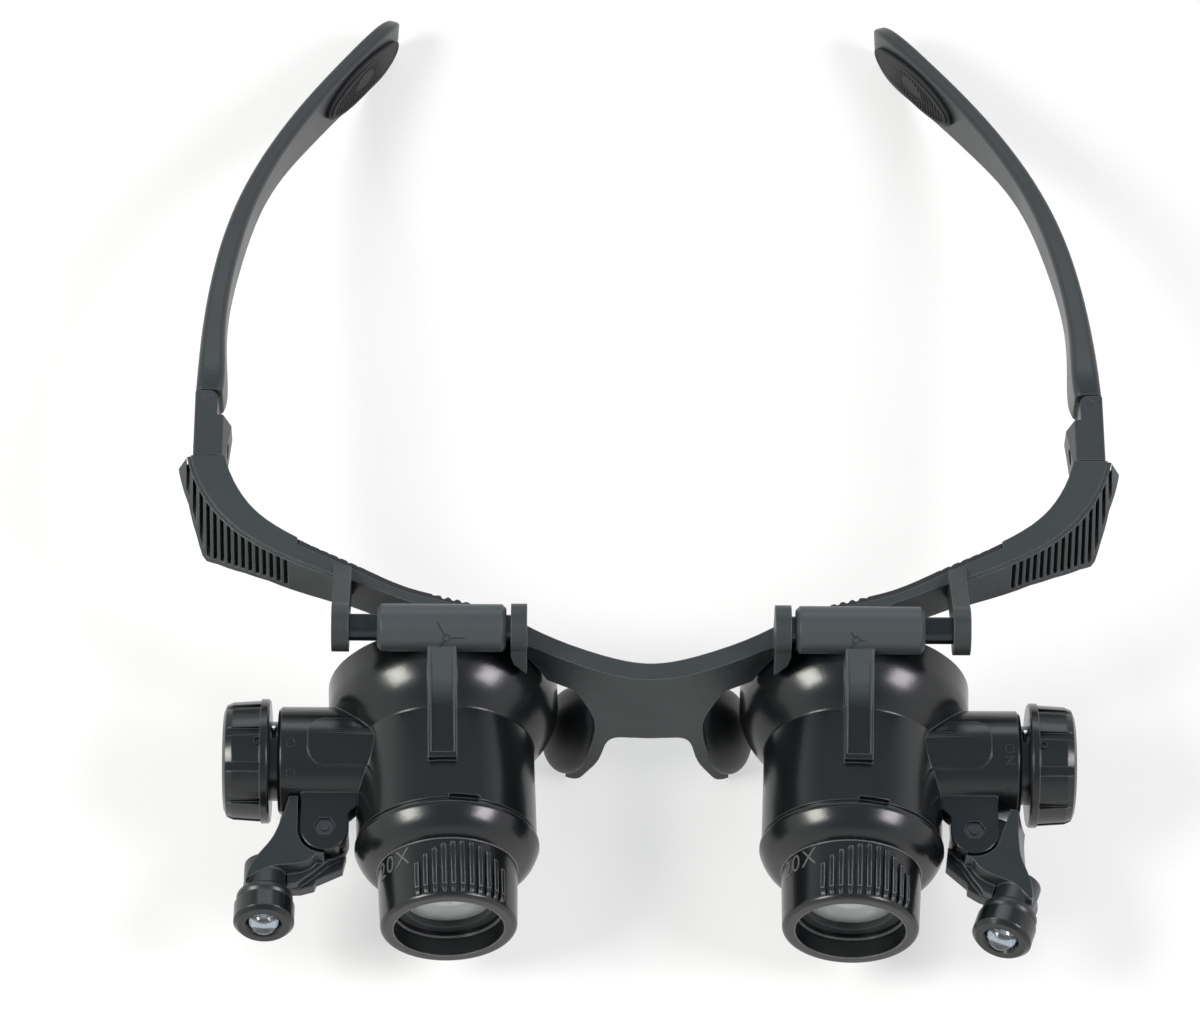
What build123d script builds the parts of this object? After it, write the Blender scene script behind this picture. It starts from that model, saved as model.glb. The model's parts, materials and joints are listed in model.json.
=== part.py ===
from build123d import *
import os
from math import cos, radians, sin, sqrt, tan

# Lighted magnifier glasses. Lengths are in millimetres and angles in degrees.
# The model is drawn with the hinge rods on the X axis, the wearer looking along -Y and +Z up.
# Each piece of one side is drawn at +X and mirrored for the other side.

# General clearances
fit_gap = 0.05
seat_gap = 0.05
soft_gap = 0.3
overrun = 5.0

# Hinge rods, and the ears of the frame that hold them
rod_radius = 2.25
rod_flat_depth = 0.4
rod_end_set_in = 0.6
inner_ear_thickness = 2.7
outer_ear_thickness = 2.9
ear_radius = 4.1
ear_tail_reach = 8.3
ear_tail_end_thickness = 0.9
ear_tail_radius = 1.4

# Front frame
frame_half_width = 78.2
wrap_depth = 44.3
scoop_wall = 1.75
frame_top = -4.5
bar_height = 8.0
bar_thickness_bridge = 3.2
bar_edge_round = 0.6
frame_tongue_length = 6.0
frame_tongue_width = 2.6
frame_tongue_height = 3.6

# Ribbed wing at each front corner of the frame
wing_proud = 0.45
wing_thickness = 3.0
wing_top_step = 0.35
wing_depth = 8.8
wing_flare = 4.4
groove_field = 17.0
groove_pitch = 1.22
groove_width = 0.65
groove_depth = 1.1
groove_count = 15
groove_top_land = 0.15
groove_border = 0.8

# Bridge plate and nose arms
nose_drop = 35.6
nose_rake = 1.6

# Soft pads
nose_pad_y = -0.2
nose_pad_z = -32.2
nose_pad_length = 12.6
nose_pad_height = 16.0
nose_pad_thickness = 6.0
nose_pad_yaw = 22.0
nose_pad_lean = 20.0
brow_pad_thickness = 1.1
brow_pad_height = 5.2
brow_pad_end_land = 18.6
brow_pad_ear_land = 1.2
brow_pad_set_down = 0.25
scallop_pitch = 1.6
scallop_depth = 0.45

# Hinge block, fold pin and temple
block_side_step = 0.3
block_length = 13.4
block_top_width = 4.9
block_foot_width = 6.7
block_foot_taper = 1.3
block_slope_height = 5.0
block_joint_gap = 0.2
fold_pin_set_in = 2.3
fold_pin_set_forward = 1.65
fold_pin_radius = 0.8
fold_relief_gap = 0.25
fold_relief_reach = 3.3
tongue_height = 3.0
block_screw_head_radius = 1.4
block_screw_head_height = 0.6
block_screw_radius = 0.7
block_screw_y = 3.4

temple_reach = 101.6
temple_hook = 29.4
temple_drop = 28.4
temple_root_width = 4.6
temple_mid_width = 3.4
temple_tip_width = 2.8
paddle_height = 11.6
temple_corner_share = 0.28
right_temple_rest_fold = 1.5
tip_pad_length = 27.0
tip_pad_height = 8.2
tip_pad_thickness = 0.8

# Eyepiece housing: eyecup, body, sleeve and web
rod_to_rim = 2.6
toe_in = 2.0
web_toe_in = 1.0
sleeve_radius = 4.0
sleeve_length = 21.5
sleeve_inner_play = 0.75
sleeve_outer_play = 4.7
sleeve_end_round = 0.7
rim_y = 2.0
rim_radius = 19.4
rim_wall = 1.5
rim_band = 4.5
rim_round = 0.6
body_radius = 15.1
bell_length = 15.0
body_length = 31.2
body_bore_radius = 11.6
cup_depth = 9.5
web_width = 4.8
web_end_y = -21.5
web_rise = 1.1
web_channel_depth = 0.3
web_edge_width = 0.45
web_lip = 0.9
parting_step = 0.25
collar_groove_length = 0.6
collar_groove_depth = 0.5
frame_clear_y = 3.2
frame_clear_gap = 0.45

# Lens barrel with its bayonet
spigot_radius = 12.5
spigot_length = 8.5
bayonet_lug_height = 0.9
bayonet_lug_length = 1.8
bayonet_lug_angle = 16.0
bayonet_lug_back = 5.2
bayonet_travel = 30.0
notch_width = 5.2
notch_depth = 1.2
notch_length = 1.3
flange_length = 0.9
flange_radius = 15.45
barrel_length = 15.9
barrel_radius = 11.4
barrel_root_radius = 11.7
shoulder_length = 5.2
lip_round = 0.8
mouth_radius = 9.2
mouth_depth = 3.5
lens_bore_radius = 8.9
lens_seat_t = 0.6
lens_seat_radius = 7.7
grip_count = 11
grip_pitch_angle = 7.4
grip_centre_angle = 12.0
grip_width = 0.7
grip_height = 0.45
grip_start = 6.0
grip_arch = 3.4
grip_end_set_back = 1.9

# Lenses and rings of the barrel
lens_clear_radius = 7.1
rear_lens_edge = 1.8
rear_lens_crown = 1.0
front_lens_edge = 2.2
front_lens_crown = 1.1
spacer_length = 5.6
spacer_wall = 1.0
retaining_length = 1.3
retaining_wall = 1.6

# Battery tube, cells and twist cap
tube_y = -13.0
tube_radius = 9.2
tube_reach = 27.45
cell_radius = 5.8
cell_height = 3.05
cell_edge_round = 0.35
cell_count = 3
cell_bore_radius = 5.95
cap_bore_radius = 6.75
cap_boss_depth = 5.5
tube_bore_depth = 12.1
contact_thickness = 0.4
spring_strip = 0.3
spring_width = 3.4
spring_length = 9.4
spring_height = 2.0
cap_gap = 1.4
cap_radius = 10.5
cap_length = 7.8
cap_end_round = 1.6
cap_rim_length = 1.5
cap_rim_step = 0.3
cap_groove_count = 10
cap_groove_width = 1.5
cap_groove_depth = 0.75
tube_pad_end = 5.1
tube_pad_height = 0.35
tube_pad_corner = 3.0
tube_pad_angle = 54.0
tube_pad_turn = 7.0

# Lamp lug, arm, ring and bulb
pivot_reach = 19.35
pivot_y = -27.8
lug_rise = 4.0
lug_thickness = 3.2
lug_half_width = 4.0
lug_outer_half_width = 4.2
lug_inner_half_width = 5.5
lug_end_centre = 0.45
lug_step_back = 2.6
arm_gap = 0.5
arm_top_drop = 0.2
arm_height = 6.3
arm_ledge_drop = 2.4
arm_foot_drop = 4.2
lug_edge_round = 0.25
head_u = 9.7
head_tilt = 8.0
head_start_v = 6.9
neck_radius = 3.6
neck_length = 4.6
collar_radius = 4.7
collar_length = 1.9
ring_groove_radius = 4.1
ring_groove_length = 0.5
ring_radius = 5.05
ring_length = 3.9
ring_front_chamfer = 0.7
ring_spigot_radius = 3.95
ring_spigot_length = 2.0
bulb_radius = 2.5
bulb_flange_radius = 2.9
bulb_flange_length = 1.0
bulb_length = 6.1
bulb_proud = 1.3
lead_radius = 0.25
lead_spacing = 2.54
lead_length = 2.4
lamp_screw_radius = 0.8
lamp_screw_head_radius = 1.6
lamp_screw_head_height = 0.9
nut_flats = 3.0
nut_height = 1.2
nut_set_down = 0.35
right_lamp_rest_swing = 18.0

# Places across the width, as shares of the frame's half width
eyepiece_width_share = 0.44565
nose_width_share = 0.1816
nose_pad_width_share = 0.958

# Plan outlines of the brow bar: shares of frame_half_width and of wrap_depth
ridge_shares = [(0, 0), (0.115, 0.038), (0.247, 0.135), (0.454, 0.293), (0.665, 0.451),
                (0.803, 0.562), (0.914, 0.707), (0.976, 0.871), (1.0, 1.0)]
rear_shares = [(0, 0.072), (0.115, 0.115), (0.256, 0.228), (0.310, 0.286), (0.371, 0.334), (0.448, 0.366),
               (0.639, 0.515), (0.775, 0.641), (0.857, 0.754), (0.903, 0.880), (0.926, 1.0)]


def share_at(shares, place):
    """Read the second share of a table at a place along its first share."""
    for (low, low_value), (high, high_value) in zip(shares, shares[1:]):
        if low <= place <= high:
            return low_value + (high_value - low_value) * (place - low) / (high - low)
    return shares[-1][1]


# Places that follow from the sizes above
eyepiece_x = frame_half_width * eyepiece_width_share
optical_drop = rim_radius + rod_to_rim
inner_ear_end = eyepiece_x - sleeve_length / 2 - sleeve_inner_play
inner_ear_x = inner_ear_end - inner_ear_thickness
outer_ear_x = eyepiece_x + sleeve_length / 2 + sleeve_outer_play
nose_half_width = frame_half_width * nose_width_share
nose_pad_x = nose_half_width * nose_pad_width_share
bridge_y = frame_clear_y + scoop_wall - share_at(rear_shares, inner_ear_end / frame_half_width) * wrap_depth
block_outer_x = frame_half_width - block_side_step
groove_first_x = frame_half_width - groove_field
brow_pad_outer_x = frame_half_width - brow_pad_end_land
brow_pad_inner_x = inner_ear_x + brow_pad_ear_land
tube_end_x = eyepiece_x + tube_reach
tube_floor_x = tube_end_x - tube_bore_depth
pivot_x = eyepiece_x + pivot_reach
lug_top = lug_rise - optical_drop
head_z = -optical_drop
frame_end_y = bridge_y + wrap_depth
fold_pin_x = block_outer_x - fold_pin_set_in
block_end_y = frame_end_y + block_length
fold_pin_y = block_end_y - fold_pin_set_forward
temple_start_y = block_end_y + fold_relief_gap
lug_floor = lug_top - lug_thickness
arm_top = lug_top - arm_top_drop
arm_floor = arm_top - arm_height
barrel_base_y = rim_y - body_length

# Lower border of the wing: shares of the diagonal from the bridge to the hinge end, and of wing_depth
border_shares = [(0.50, 0.95), (0.565, 0.93), (0.62, 0.85), (0.70, 0.75), (0.75, 0.78), (0.81, 0.90), (0.838, 1.0),
                 (0.852, 0.97), (0.885, 0.75), (0.94, 0.49), (1.02, 0.41), (1.10, 0.38)]
# How far the wing flares out along its length, from the ear end to the hinge end
flare_shares = [0, 0.24, 0.54, 0.84, 1.0, 1.0, 1.0]
# Nose outline in front view: shares of nose_half_width and of nose_drop
nose_outer_shares = [(1.46, 0.10), (1.155, 0.168), (0.908, 0.222), (0.76, 0.31), (0.66, 0.41), (0.64, 0.50),
                     (0.69, 0.655), (0.79, 0.805), (0.985, 0.925)]
nose_inner_shares = [(0.985, 1.0), (0.76, 0.92), (0.62, 0.79), (0.545, 0.67), (0.475, 0.565), (0.36, 0.52),
                     (0.20, 0.505), (0, 0.50)]
# Heights of the sections of the nose pad, as shares of half its height
nose_pad_section_shares = [-0.985, -0.9, -0.6, -0.2, 0.2, 0.6, 0.9, 0.985]
# Temple sections: shares of hook, reach and drop for the centre, then width and height in root or paddle sizes
temple_path_shares = [(0, 0, 0), (0.012, 0.152, 0.055), (0.062, 0.31, 0.165), (0.16, 0.46, 0.31),
                      (0.325, 0.61, 0.49), (0.545, 0.75, 0.68), (0.765, 0.87, 0.845), (0.945, 0.962, 0.965),
                      (1.0, 1.0, 1.0)]
temple_width_shares = [1.0, 0.87, 0.79, 0.72, 0.655, 0.61, 0.60, 0.58, 0.40]
temple_height_shares = [0.69, 0.63, 0.60, 0.60, 0.68, 0.88, 1.0, 0.90, 0.50]
# Lamp arm outlines round its pivot: outward and forward places in shares of head_u
arm_top_outer_shares = [(0.62, -0.63), (0.68, -0.36), (0.76, -0.11), (0.905, 0.245), (1.134, 0.567),
                        (1.268, 0.825), (1.315, 1.03)]
arm_top_front_shares = [(1.13, 0.90), (0.92, 0.79), (0.615, 0.75), (0.28, 0.67), (0.13, 0.54)]
arm_floor_outer_shares = [(0.78, -0.63), (0.83, -0.36), (0.91, -0.11), (1.06, 0.245), (1.29, 0.546),
                          (1.385, 0.74), (1.36, 1.04)]
arm_floor_front_shares = [(1.15, 1.0), (0.92, 0.92), (0.615, 0.88), (0.29, 0.80), (0.13, 0.64)]
arm_ledge_shares = [(0.62, 0.70), (0.62, 1.0), (0.45, 0.98), (0.19, 0.77), (-0.08, 0.53), (-0.36, 0.36),
                    (-0.37, 0.30), (-0.10, 0.30)]
arm_foot_shares = [(0.62, 0.70), (0.62, 1.01), (0.40, 1.0), (0.17, 0.93), (0.13, 0.82), (-0.31, 0.60),
                   (-0.37, 0.30), (-0.10, 0.30)]


def block(x_low, x_high, y_low, y_high, z_low, z_high):
    size = Box(x_high - x_low, y_high - y_low, z_high - z_low)
    return Pos((x_low + x_high) / 2, (y_low + y_high) / 2, (z_low + z_high) / 2) * size


def turned(points):
    """Revolve a closed outline of (radius, distance forward) about the Y axis; forward is -Y."""
    outline = Polyline(*[(radius, -forward) for radius, forward in points], close=True)
    return revolve(make_face(outline), Axis.Y)


def turned_edges(edges):
    return revolve(make_face(edges), Axis.Y)


def along_x(solid):
    """Turn a piece drawn forward along -Y so that it runs outward along +X."""
    return Rot(0, 0, 90) * solid


def tube_place(solid):
    return Pos(0, tube_y, -optical_drop) * along_x(solid)


def toed(solid):
    return Pos(eyepiece_x, 0, 0) * Rot(0, 0, -toe_in) * solid


def on_optical_axis(solid, base_y):
    return toed(Pos(0, base_y, -optical_drop) * solid)


def in_front_view(face, y_low, y_high):
    """Extrude a face drawn as (X, Z) so that it spans y_low to y_high."""
    placed = Plane.XZ * face
    return Pos(0, y_high, 0) * extrude(placed, amount=y_high - y_low)


def in_side_view(points, x_low, x_high):
    """Extrude an outline drawn as (Y, Z) so that it spans x_low to x_high."""
    face = make_face(Polyline(*points, close=True))
    return Pos(x_low, 0, 0) * extrude(Plane.YZ * face, amount=x_high - x_low)


def rounded(solid, edges, radius):
    """Round the edges where the solid allows it, at a smaller radius if it has to be."""
    for share in (1.0, 0.6, 0.3):
        try:
            result = fillet(edges, radius * share)
        except ValueError:
            continue
        if result.is_valid:
            return result
    return solid


def plan_points(shares):
    return [(x * frame_half_width, bridge_y + y * wrap_depth) for x, y in shares]


def both_sides(points):
    """Points from the far -X end to the far +X end of a symmetric curve given from X = 0 outward."""
    return [(-x, y) for x, y in reversed(points[1:])] + points


def nose_outline(shares):
    return [(x * nose_half_width, frame_top - z * nose_drop) for x, z in shares]


def front_profile():
    """Front view of the bar with its bridge and the two nose arms."""
    outer = nose_outline(nose_outer_shares)
    inner = nose_outline(nose_inner_shares)
    top = (outer[0][0], frame_top)
    edges = Spline(*outer) + Line(outer[-1], inner[0]) + Spline(*inner, tangents=[(-1, 0), (-1, 0)])
    edges += Polyline(inner[-1], (0, frame_top), top, outer[0])
    half = make_face(edges)
    bar = Pos(0, frame_top - bar_height / 2) * Rectangle(frame_half_width * 3, bar_height)
    return bar + half + mirror(half, Plane.YZ)


def brow_bar():
    """Bar, bridge and nose arms share one curved band, cut to the front profile."""
    ridge = both_sides(plan_points(ridge_shares))
    rear = both_sides(plan_points(rear_shares))
    outline = Spline(*ridge) + Line(ridge[-1], rear[-1]) + Spline(*reversed(rear)) + Line(rear[0], ridge[0])
    top = Pos(0, 0, frame_top) * make_face(outline)
    low = Pos(0, -nose_rake, frame_top - nose_drop - overrun) * make_face(outline)
    band = loft([top, low], ruled=True)
    return band & in_front_view(front_profile(), bridge_y - overrun, frame_end_y + overrun)


def wing_band(front_offset, rear_offset, z_high, z_low):
    """A band along the corner of the bar that flares outward as it goes down."""
    ridge = Spline(*plan_points(ridge_shares[4:]))
    last = len(flare_shares) - 1
    faces = []
    for z in (z_high, z_low):
        front = []
        rear = []
        for index, flare_share in enumerate(flare_shares):
            place = ridge @ (index / last)
            along = ridge % (index / last)
            outward = Vector(along.Y, -along.X)
            flare = wing_flare * flare_share * (frame_top - z) / wing_depth
            front.append(place + outward * (front_offset + flare))
            rear.append(place - outward * (rear_offset - flare))
        outline = Spline(*front) + Line(front[-1], rear[-1]) + Spline(*reversed(rear)) + Line(rear[0], front[0])
        faces.append(Pos(0, 0, z) * make_face(outline))
    return loft(faces, ruled=True)


def below_border(raised):
    """Everything under the lower border of the wing, seen square to the corner."""
    diagonal = (frame_half_width + frame_end_y) / sqrt(2)
    points = [(w * diagonal, frame_top - z * wing_depth + raised) for w, z in border_shares]
    low = frame_top - wing_depth * 3
    outline = Polyline(*points, (points[-1][0], low), (points[0][0], low), close=True)
    return Rot(0, 0, 45) * in_front_view(make_face(outline), -frame_half_width, frame_half_width)


def wing():
    top = frame_top - wing_top_step
    low = frame_top - wing_depth * 1.3
    panel = wing_band(wing_proud, wing_thickness, top, low) - below_border(0)
    grooves = wing_band(wing_proud + overrun, groove_depth - wing_proud, top - groove_top_land, low)
    slots = [block(groove_first_x + index * groove_pitch, groove_first_x + index * groove_pitch + groove_width,
                   bridge_y, frame_end_y + overrun, low - overrun, frame_top)
             for index in range(groove_count)]
    grooves = grooves & Compound(children=slots)
    grooves = grooves - below_border(groove_border)
    return panel, grooves


def bar_reach_y(x):
    """How far back an ear has to reach to stand in the bar at this x."""
    return bridge_y + share_at(ridge_shares, x / frame_half_width) * wrap_depth


def ears():
    disc = [(0, 0), (ear_radius, 0), (ear_radius, inner_ear_thickness), (0, inner_ear_thickness)]
    inner = Pos(inner_ear_x, 0, 0) * along_x(turned(disc))
    reach = ear_tail_reach - ear_tail_radius
    lean = radians(58)
    tip = Vector(0, -reach * cos(lean), -reach * sin(lean))
    spread = ear_radius * 0.96
    tail_points = [(-spread * sin(lean), spread * cos(lean)), (tip.Y - ear_tail_radius * sin(lean),
                   tip.Z + ear_tail_radius * cos(lean)), (tip.Y + ear_tail_radius * sin(lean),
                   tip.Z - ear_tail_radius * cos(lean)), (spread * sin(lean), -spread * cos(lean))]
    tail = in_side_view(tail_points, inner_ear_x, inner_ear_end)
    tail_end = Pos(inner_ear_x, tip.Y, tip.Z) * along_x(turned([(0, 0), (ear_tail_radius, 0),
                   (ear_tail_radius, inner_ear_thickness), (0, inner_ear_thickness)]))
    slope = make_face(Polyline((inner_ear_end, -ear_radius * 0.5), (inner_ear_x + ear_tail_end_thickness, -ear_tail_reach),
                               (inner_ear_end + overrun, -ear_tail_reach - overrun),
                               (inner_ear_end + overrun, -ear_radius * 0.5), close=True))
    tail = tail + tail_end - in_front_view(slope, -ear_tail_reach - overrun, -ear_radius * 0.3)
    root = block(inner_ear_x, inner_ear_end, 0, ear_radius * 0.9, -ear_radius * 1.4, -ear_radius * 0.3)
    outer = Pos(outer_ear_x, 0, 0) * along_x(turned([(0, 0), (ear_radius, 0), (ear_radius, outer_ear_thickness),
                                                    (0, outer_ear_thickness)]))
    reach_y = bar_reach_y(outer_ear_x) + bar_thickness_bridge
    bracket = in_side_view([(0, ear_radius), (reach_y, frame_top), (reach_y, frame_top - bar_height * 0.8),
                            (ear_radius * 0.6, -ear_radius * 0.8), (0, -ear_radius)],
                           outer_ear_x, outer_ear_x + outer_ear_thickness)
    return inner + tail + root + outer + bracket


def rod_bore(radius, x_low, x_high):
    return Pos(x_low, 0, 0) * along_x(turned([(0, 0), (radius, 0), (radius, x_high - x_low), (0, x_high - x_low)]))


def eyepiece_sweep(shift):
    """Room that the rim of the eyecup passes through as the eyepiece flips up."""
    section = Pos(0, -optical_drop, 0) * Circle(rim_radius + frame_clear_gap)
    ring = revolve(section, Axis.X)
    front = block(-rim_radius * 2, rim_radius * 2, -optical_drop * 3, frame_clear_y, -optical_drop * 3,
                  optical_drop * 3)
    return Pos(eyepiece_x + shift, 0, 0) * (ring & front)


def brow_pad_zone(rear_offset, top, height):
    """Strip along the rear face of the bar, from the inner to the outer end of the brow pad."""
    rear = Spline(*plan_points(rear_shares))
    front_points = []
    outer_points = []
    for share in range(9):
        outward = rear % (share / 8)
        outward = Vector(-outward.Y, outward.X)
        front_points.append(rear @ (share / 8) - outward * brow_pad_thickness)
        outer_points.append(rear @ (share / 8) + outward * rear_offset)
    outline = (Spline(*front_points) + Line(front_points[-1], outer_points[-1]) + Spline(*reversed(outer_points))
               + Line(outer_points[0], front_points[0]))
    strip = Pos(0, 0, top) * extrude(make_face(outline), amount=-height)
    return strip & block(brow_pad_inner_x, brow_pad_outer_x, bridge_y, frame_end_y, top - height, top)


def front_frame():
    panel, grooves = wing()
    ear_set = ears()
    tongue_low = frame_top - bar_height / 2 - frame_tongue_height / 2
    tongue_x = block_outer_x - block_top_width / 2
    tongue = block(tongue_x - frame_tongue_width / 2, tongue_x + frame_tongue_width / 2, frame_end_y - overrun,
                   frame_end_y + frame_tongue_length, tongue_low, tongue_low + frame_tongue_height)
    end_cut = block(0, frame_half_width * 1.2, frame_end_y, frame_end_y + overrun * 3, -wing_depth * 4, overrun)
    side = panel - end_cut
    body = brow_bar()
    scoop = rod_bore(ear_radius + frame_clear_gap, inner_ear_end, outer_ear_x)
    slide_room = outer_ear_x - sleeve_outer_end()
    sweep = eyepiece_sweep(0) + eyepiece_sweep(slide_room)
    rest_room = block(inner_ear_end, outer_ear_x, bridge_y - overrun, frame_clear_y, frame_top - bar_height * 2,
                      -ear_radius)
    for flip in (False, True):
        def place(solid):
            return mirror(solid, Plane.YZ) if flip else solid
        body = body + place(side) + place(tongue)
        body = body - place(scoop) - place(rest_room)
        body = body + place(ear_set)
        body = body - place(sweep) - place(grooves)
        recess = brow_pad_zone(overrun, frame_top + overrun, brow_pad_set_down + brow_pad_height + overrun)
        body = body - place(recess)
        body = body - place(rod_bore(rod_radius + fit_gap, inner_ear_x + rod_end_set_in,
                                     outer_ear_x + outer_ear_thickness - rod_end_set_in))
        screw_reach = block_screw_radius + seat_gap
        body = body - place(Pos(tongue_x, frame_end_y + block_screw_y, frame_top - bar_height / 2)
                            * Rot(0, 90, 0) * Cylinder(screw_reach, frame_tongue_width * 2))
    return body


def brow_pad():
    pad = brow_pad_zone(0, frame_top - brow_pad_set_down, brow_pad_height) - eyepiece_sweep(0)
    count = int((brow_pad_outer_x - brow_pad_inner_x) / scallop_pitch)
    cuts = []
    for index in range(1, count):
        x = brow_pad_inner_x + index * scallop_pitch
        y = bridge_y + share_at(rear_shares, x / frame_half_width) * wrap_depth
        cuts.append(Pos(x, y + scallop_depth * 0.6, frame_top - bar_height / 2)
                    * Cylinder(scallop_depth, bar_height * 2))
    return pad - Compound(children=cuts)


def nose_pad(frame):
    """A soft egg-shaped pad that laps over the end of the nose arm."""
    sections = []
    for share in nose_pad_section_shares:
        size = sqrt(1 - share * share)
        height = share * nose_pad_height / 2
        centre = Pos(-height * tan(radians(nose_pad_lean)), 0, height)
        sections.append(centre * Ellipse(size * nose_pad_thickness / 2, size * nose_pad_length / 2))
    egg = Pos(nose_pad_x, nose_pad_y, nose_pad_z) * Rot(0, 0, -nose_pad_yaw) * loft(sections)
    return egg - frame


def hinge_block():
    top = frame_top
    inner_top = block_outer_x - block_top_width
    inner_foot = block_outer_x - block_foot_width
    low = frame_top - bar_height
    section = make_face(Polyline((block_outer_x, top), (inner_top, top), (inner_foot, top - block_slope_height),
                                 (inner_foot, low), (block_outer_x, low), close=True))
    body = in_front_view(section, frame_end_y + block_joint_gap, block_end_y)
    body = rounded(body, body.edges().filter_by(Axis.Y), bar_edge_round)
    relief_radius = fold_pin_set_forward
    relief = block(fold_pin_x - block_foot_width, fold_pin_x - relief_radius, fold_pin_y - fold_relief_reach,
                   block_end_y + overrun, low - overrun, top + overrun)
    narrowing = make_face(Polyline((inner_foot - overrun, frame_end_y - overrun),
                                   (inner_foot + block_foot_taper, frame_end_y - overrun),
                                   (inner_foot + block_foot_taper, frame_end_y), (inner_foot, block_end_y),
                                   (inner_foot - overrun, block_end_y), close=True))
    narrowing = Pos(0, 0, low - overrun) * extrude(narrowing, amount=bar_height + overrun * 2)
    corner = block(fold_pin_x - relief_radius, fold_pin_x, fold_pin_y, block_end_y + overrun, low - overrun,
                   top + overrun)
    corner = corner - Pos(fold_pin_x, fold_pin_y, low) * Cylinder(relief_radius, bar_height * 4)
    middle = top - bar_height / 2
    slot_gap = fold_relief_gap / 2
    slot = block(inner_foot - overrun, block_outer_x + overrun, fold_pin_y - relief_radius - fold_relief_gap,
                 block_end_y + overrun, middle - tongue_height / 2 - slot_gap, middle + tongue_height / 2 + slot_gap)
    tongue_x = block_outer_x - block_top_width / 2
    half_wide = frame_tongue_width / 2 + seat_gap
    half_high = frame_tongue_height / 2 + seat_gap
    socket = block(tongue_x - half_wide, tongue_x + half_wide, frame_end_y - overrun,
                   frame_end_y + frame_tongue_length + block_joint_gap, middle - half_high, middle + half_high)
    pin_hole = Pos(fold_pin_x, fold_pin_y, middle) * Cylinder(fold_pin_radius + seat_gap / 2, bar_height * 2)
    screw_x = inner_foot + block_foot_taper
    shank = Pos(screw_x, frame_end_y + block_screw_y, middle) * Rot(0, 90, 0)
    screw_hole = shank * Cylinder(block_screw_radius + seat_gap, block_foot_width * 1.5)
    sink = shank * Cylinder(block_screw_head_radius + seat_gap, block_screw_head_height * 4)
    return body - relief - corner - narrowing - slot - socket - pin_hole - screw_hole - sink


def block_screw():
    middle = frame_top - bar_height / 2
    inner_foot = block_outer_x - block_foot_width + block_foot_taper
    seat_x = inner_foot + block_screw_head_height * 2
    tongue_x = block_outer_x - block_top_width / 2
    length = tongue_x + frame_tongue_width / 2 - seat_x
    head = turned([(0, 0), (block_screw_head_radius, 0), (block_screw_head_radius, block_screw_head_height),
                   (block_screw_radius, block_screw_head_height),
                   (block_screw_radius, block_screw_head_height + length), (0, block_screw_head_height + length)])
    screw = Pos(seat_x - block_screw_head_height, frame_end_y + block_screw_y, middle) * along_x(head)
    drive = block(seat_x - block_screw_head_height * 2, seat_x - block_screw_head_height / 2,
                  frame_end_y + block_screw_y - block_screw_radius / 4,
                  frame_end_y + block_screw_y + block_screw_radius / 4,
                  middle - block_screw_head_radius, middle + block_screw_head_radius)
    return screw - drive


def fold_pin():
    middle = frame_top - bar_height / 2
    return Pos(fold_pin_x, fold_pin_y, middle) * Cylinder(fold_pin_radius, bar_height)


def temple_centres():
    start_z = frame_top - bar_height / 2
    start_x = block_outer_x - temple_root_width / 2
    return [Vector(start_x - hook * temple_hook, temple_start_y + reach * temple_reach, start_z - drop * temple_drop)
            for hook, reach, drop in temple_path_shares]


def temple_loft(extra_width):
    centres = temple_centres()
    path = Spline(*centres)
    last = len(centres) - 1
    sections = []
    for index, centre in enumerate(centres):
        if index == 0:
            along = Vector(0, 1, 0)
        else:
            along = path.tangent_at(path.param_at_point(centre))
        across = Vector(along.Y, -along.X, 0).normalized()
        width = temple_root_width * temple_width_shares[index]
        height = paddle_height * temple_height_shares[index]
        corner = width * temple_corner_share
        plane = Plane(origin=centre, x_dir=across, z_dir=along)
        sections.append(plane * RectangleRounded(width + extra_width * 2, height, corner))
    return loft(sections)


def temple():
    arm = temple_loft(0)
    middle = frame_top - bar_height / 2
    tongue = block(fold_pin_x - fold_pin_set_forward, fold_pin_x + fold_pin_set_forward, fold_pin_y,
                   temple_start_y + overrun / 2, middle - tongue_height / 2, middle + tongue_height / 2)
    tongue = tongue & block(fold_pin_x - fold_pin_set_forward, block_outer_x, fold_pin_y, temple_start_y + overrun,
                            middle - tongue_height, middle + tongue_height)
    nose = Pos(fold_pin_x, fold_pin_y, middle) * Cylinder(fold_pin_set_forward, tongue_height)
    bore = Pos(fold_pin_x, fold_pin_y, middle) * Cylinder(fold_pin_radius + fit_gap, tongue_height * 2)
    return arm + tongue + nose - bore


def paddle_plane():
    centres = temple_centres()
    path = Spline(*centres)
    centre = centres[6]
    along = path.tangent_at(path.param_at_point(centre))
    across = Vector(along.Y, -along.X, 0).normalized()
    return Plane(origin=centre, x_dir=along, z_dir=across * -1)


def tip_pad(arm):
    zone = extrude(paddle_plane() * Ellipse(tip_pad_length / 2, tip_pad_height / 2), amount=paddle_height)
    return (temple_loft(tip_pad_thickness) & zone) - arm


def sleeve_inner_end():
    return eyepiece_x - sleeve_length / 2


def sleeve_outer_end():
    return eyepiece_x + sleeve_length / 2


def body_outside():
    rim = [(0, 0), (rim_radius - rim_round, 0), (rim_radius, rim_round), (rim_radius, rim_band)]
    edges = Polyline(*[(r, -t) for r, t in rim])
    edges += Spline((rim_radius, -rim_band), (body_radius, -bell_length), tangents=[(0, -1), (-0.55, -0.83)])
    groove_start = body_length - collar_groove_length
    groove_floor = body_radius - collar_groove_depth
    tail = [(body_radius, bell_length), (body_radius, groove_start), (groove_floor, groove_start),
            (groove_floor, body_length), (0, body_length), (0, 0)]
    edges += Polyline(*[(r, -t) for r, t in tail])
    return Pos(0, rim_y, -optical_drop) * turned_edges(edges)


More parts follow.
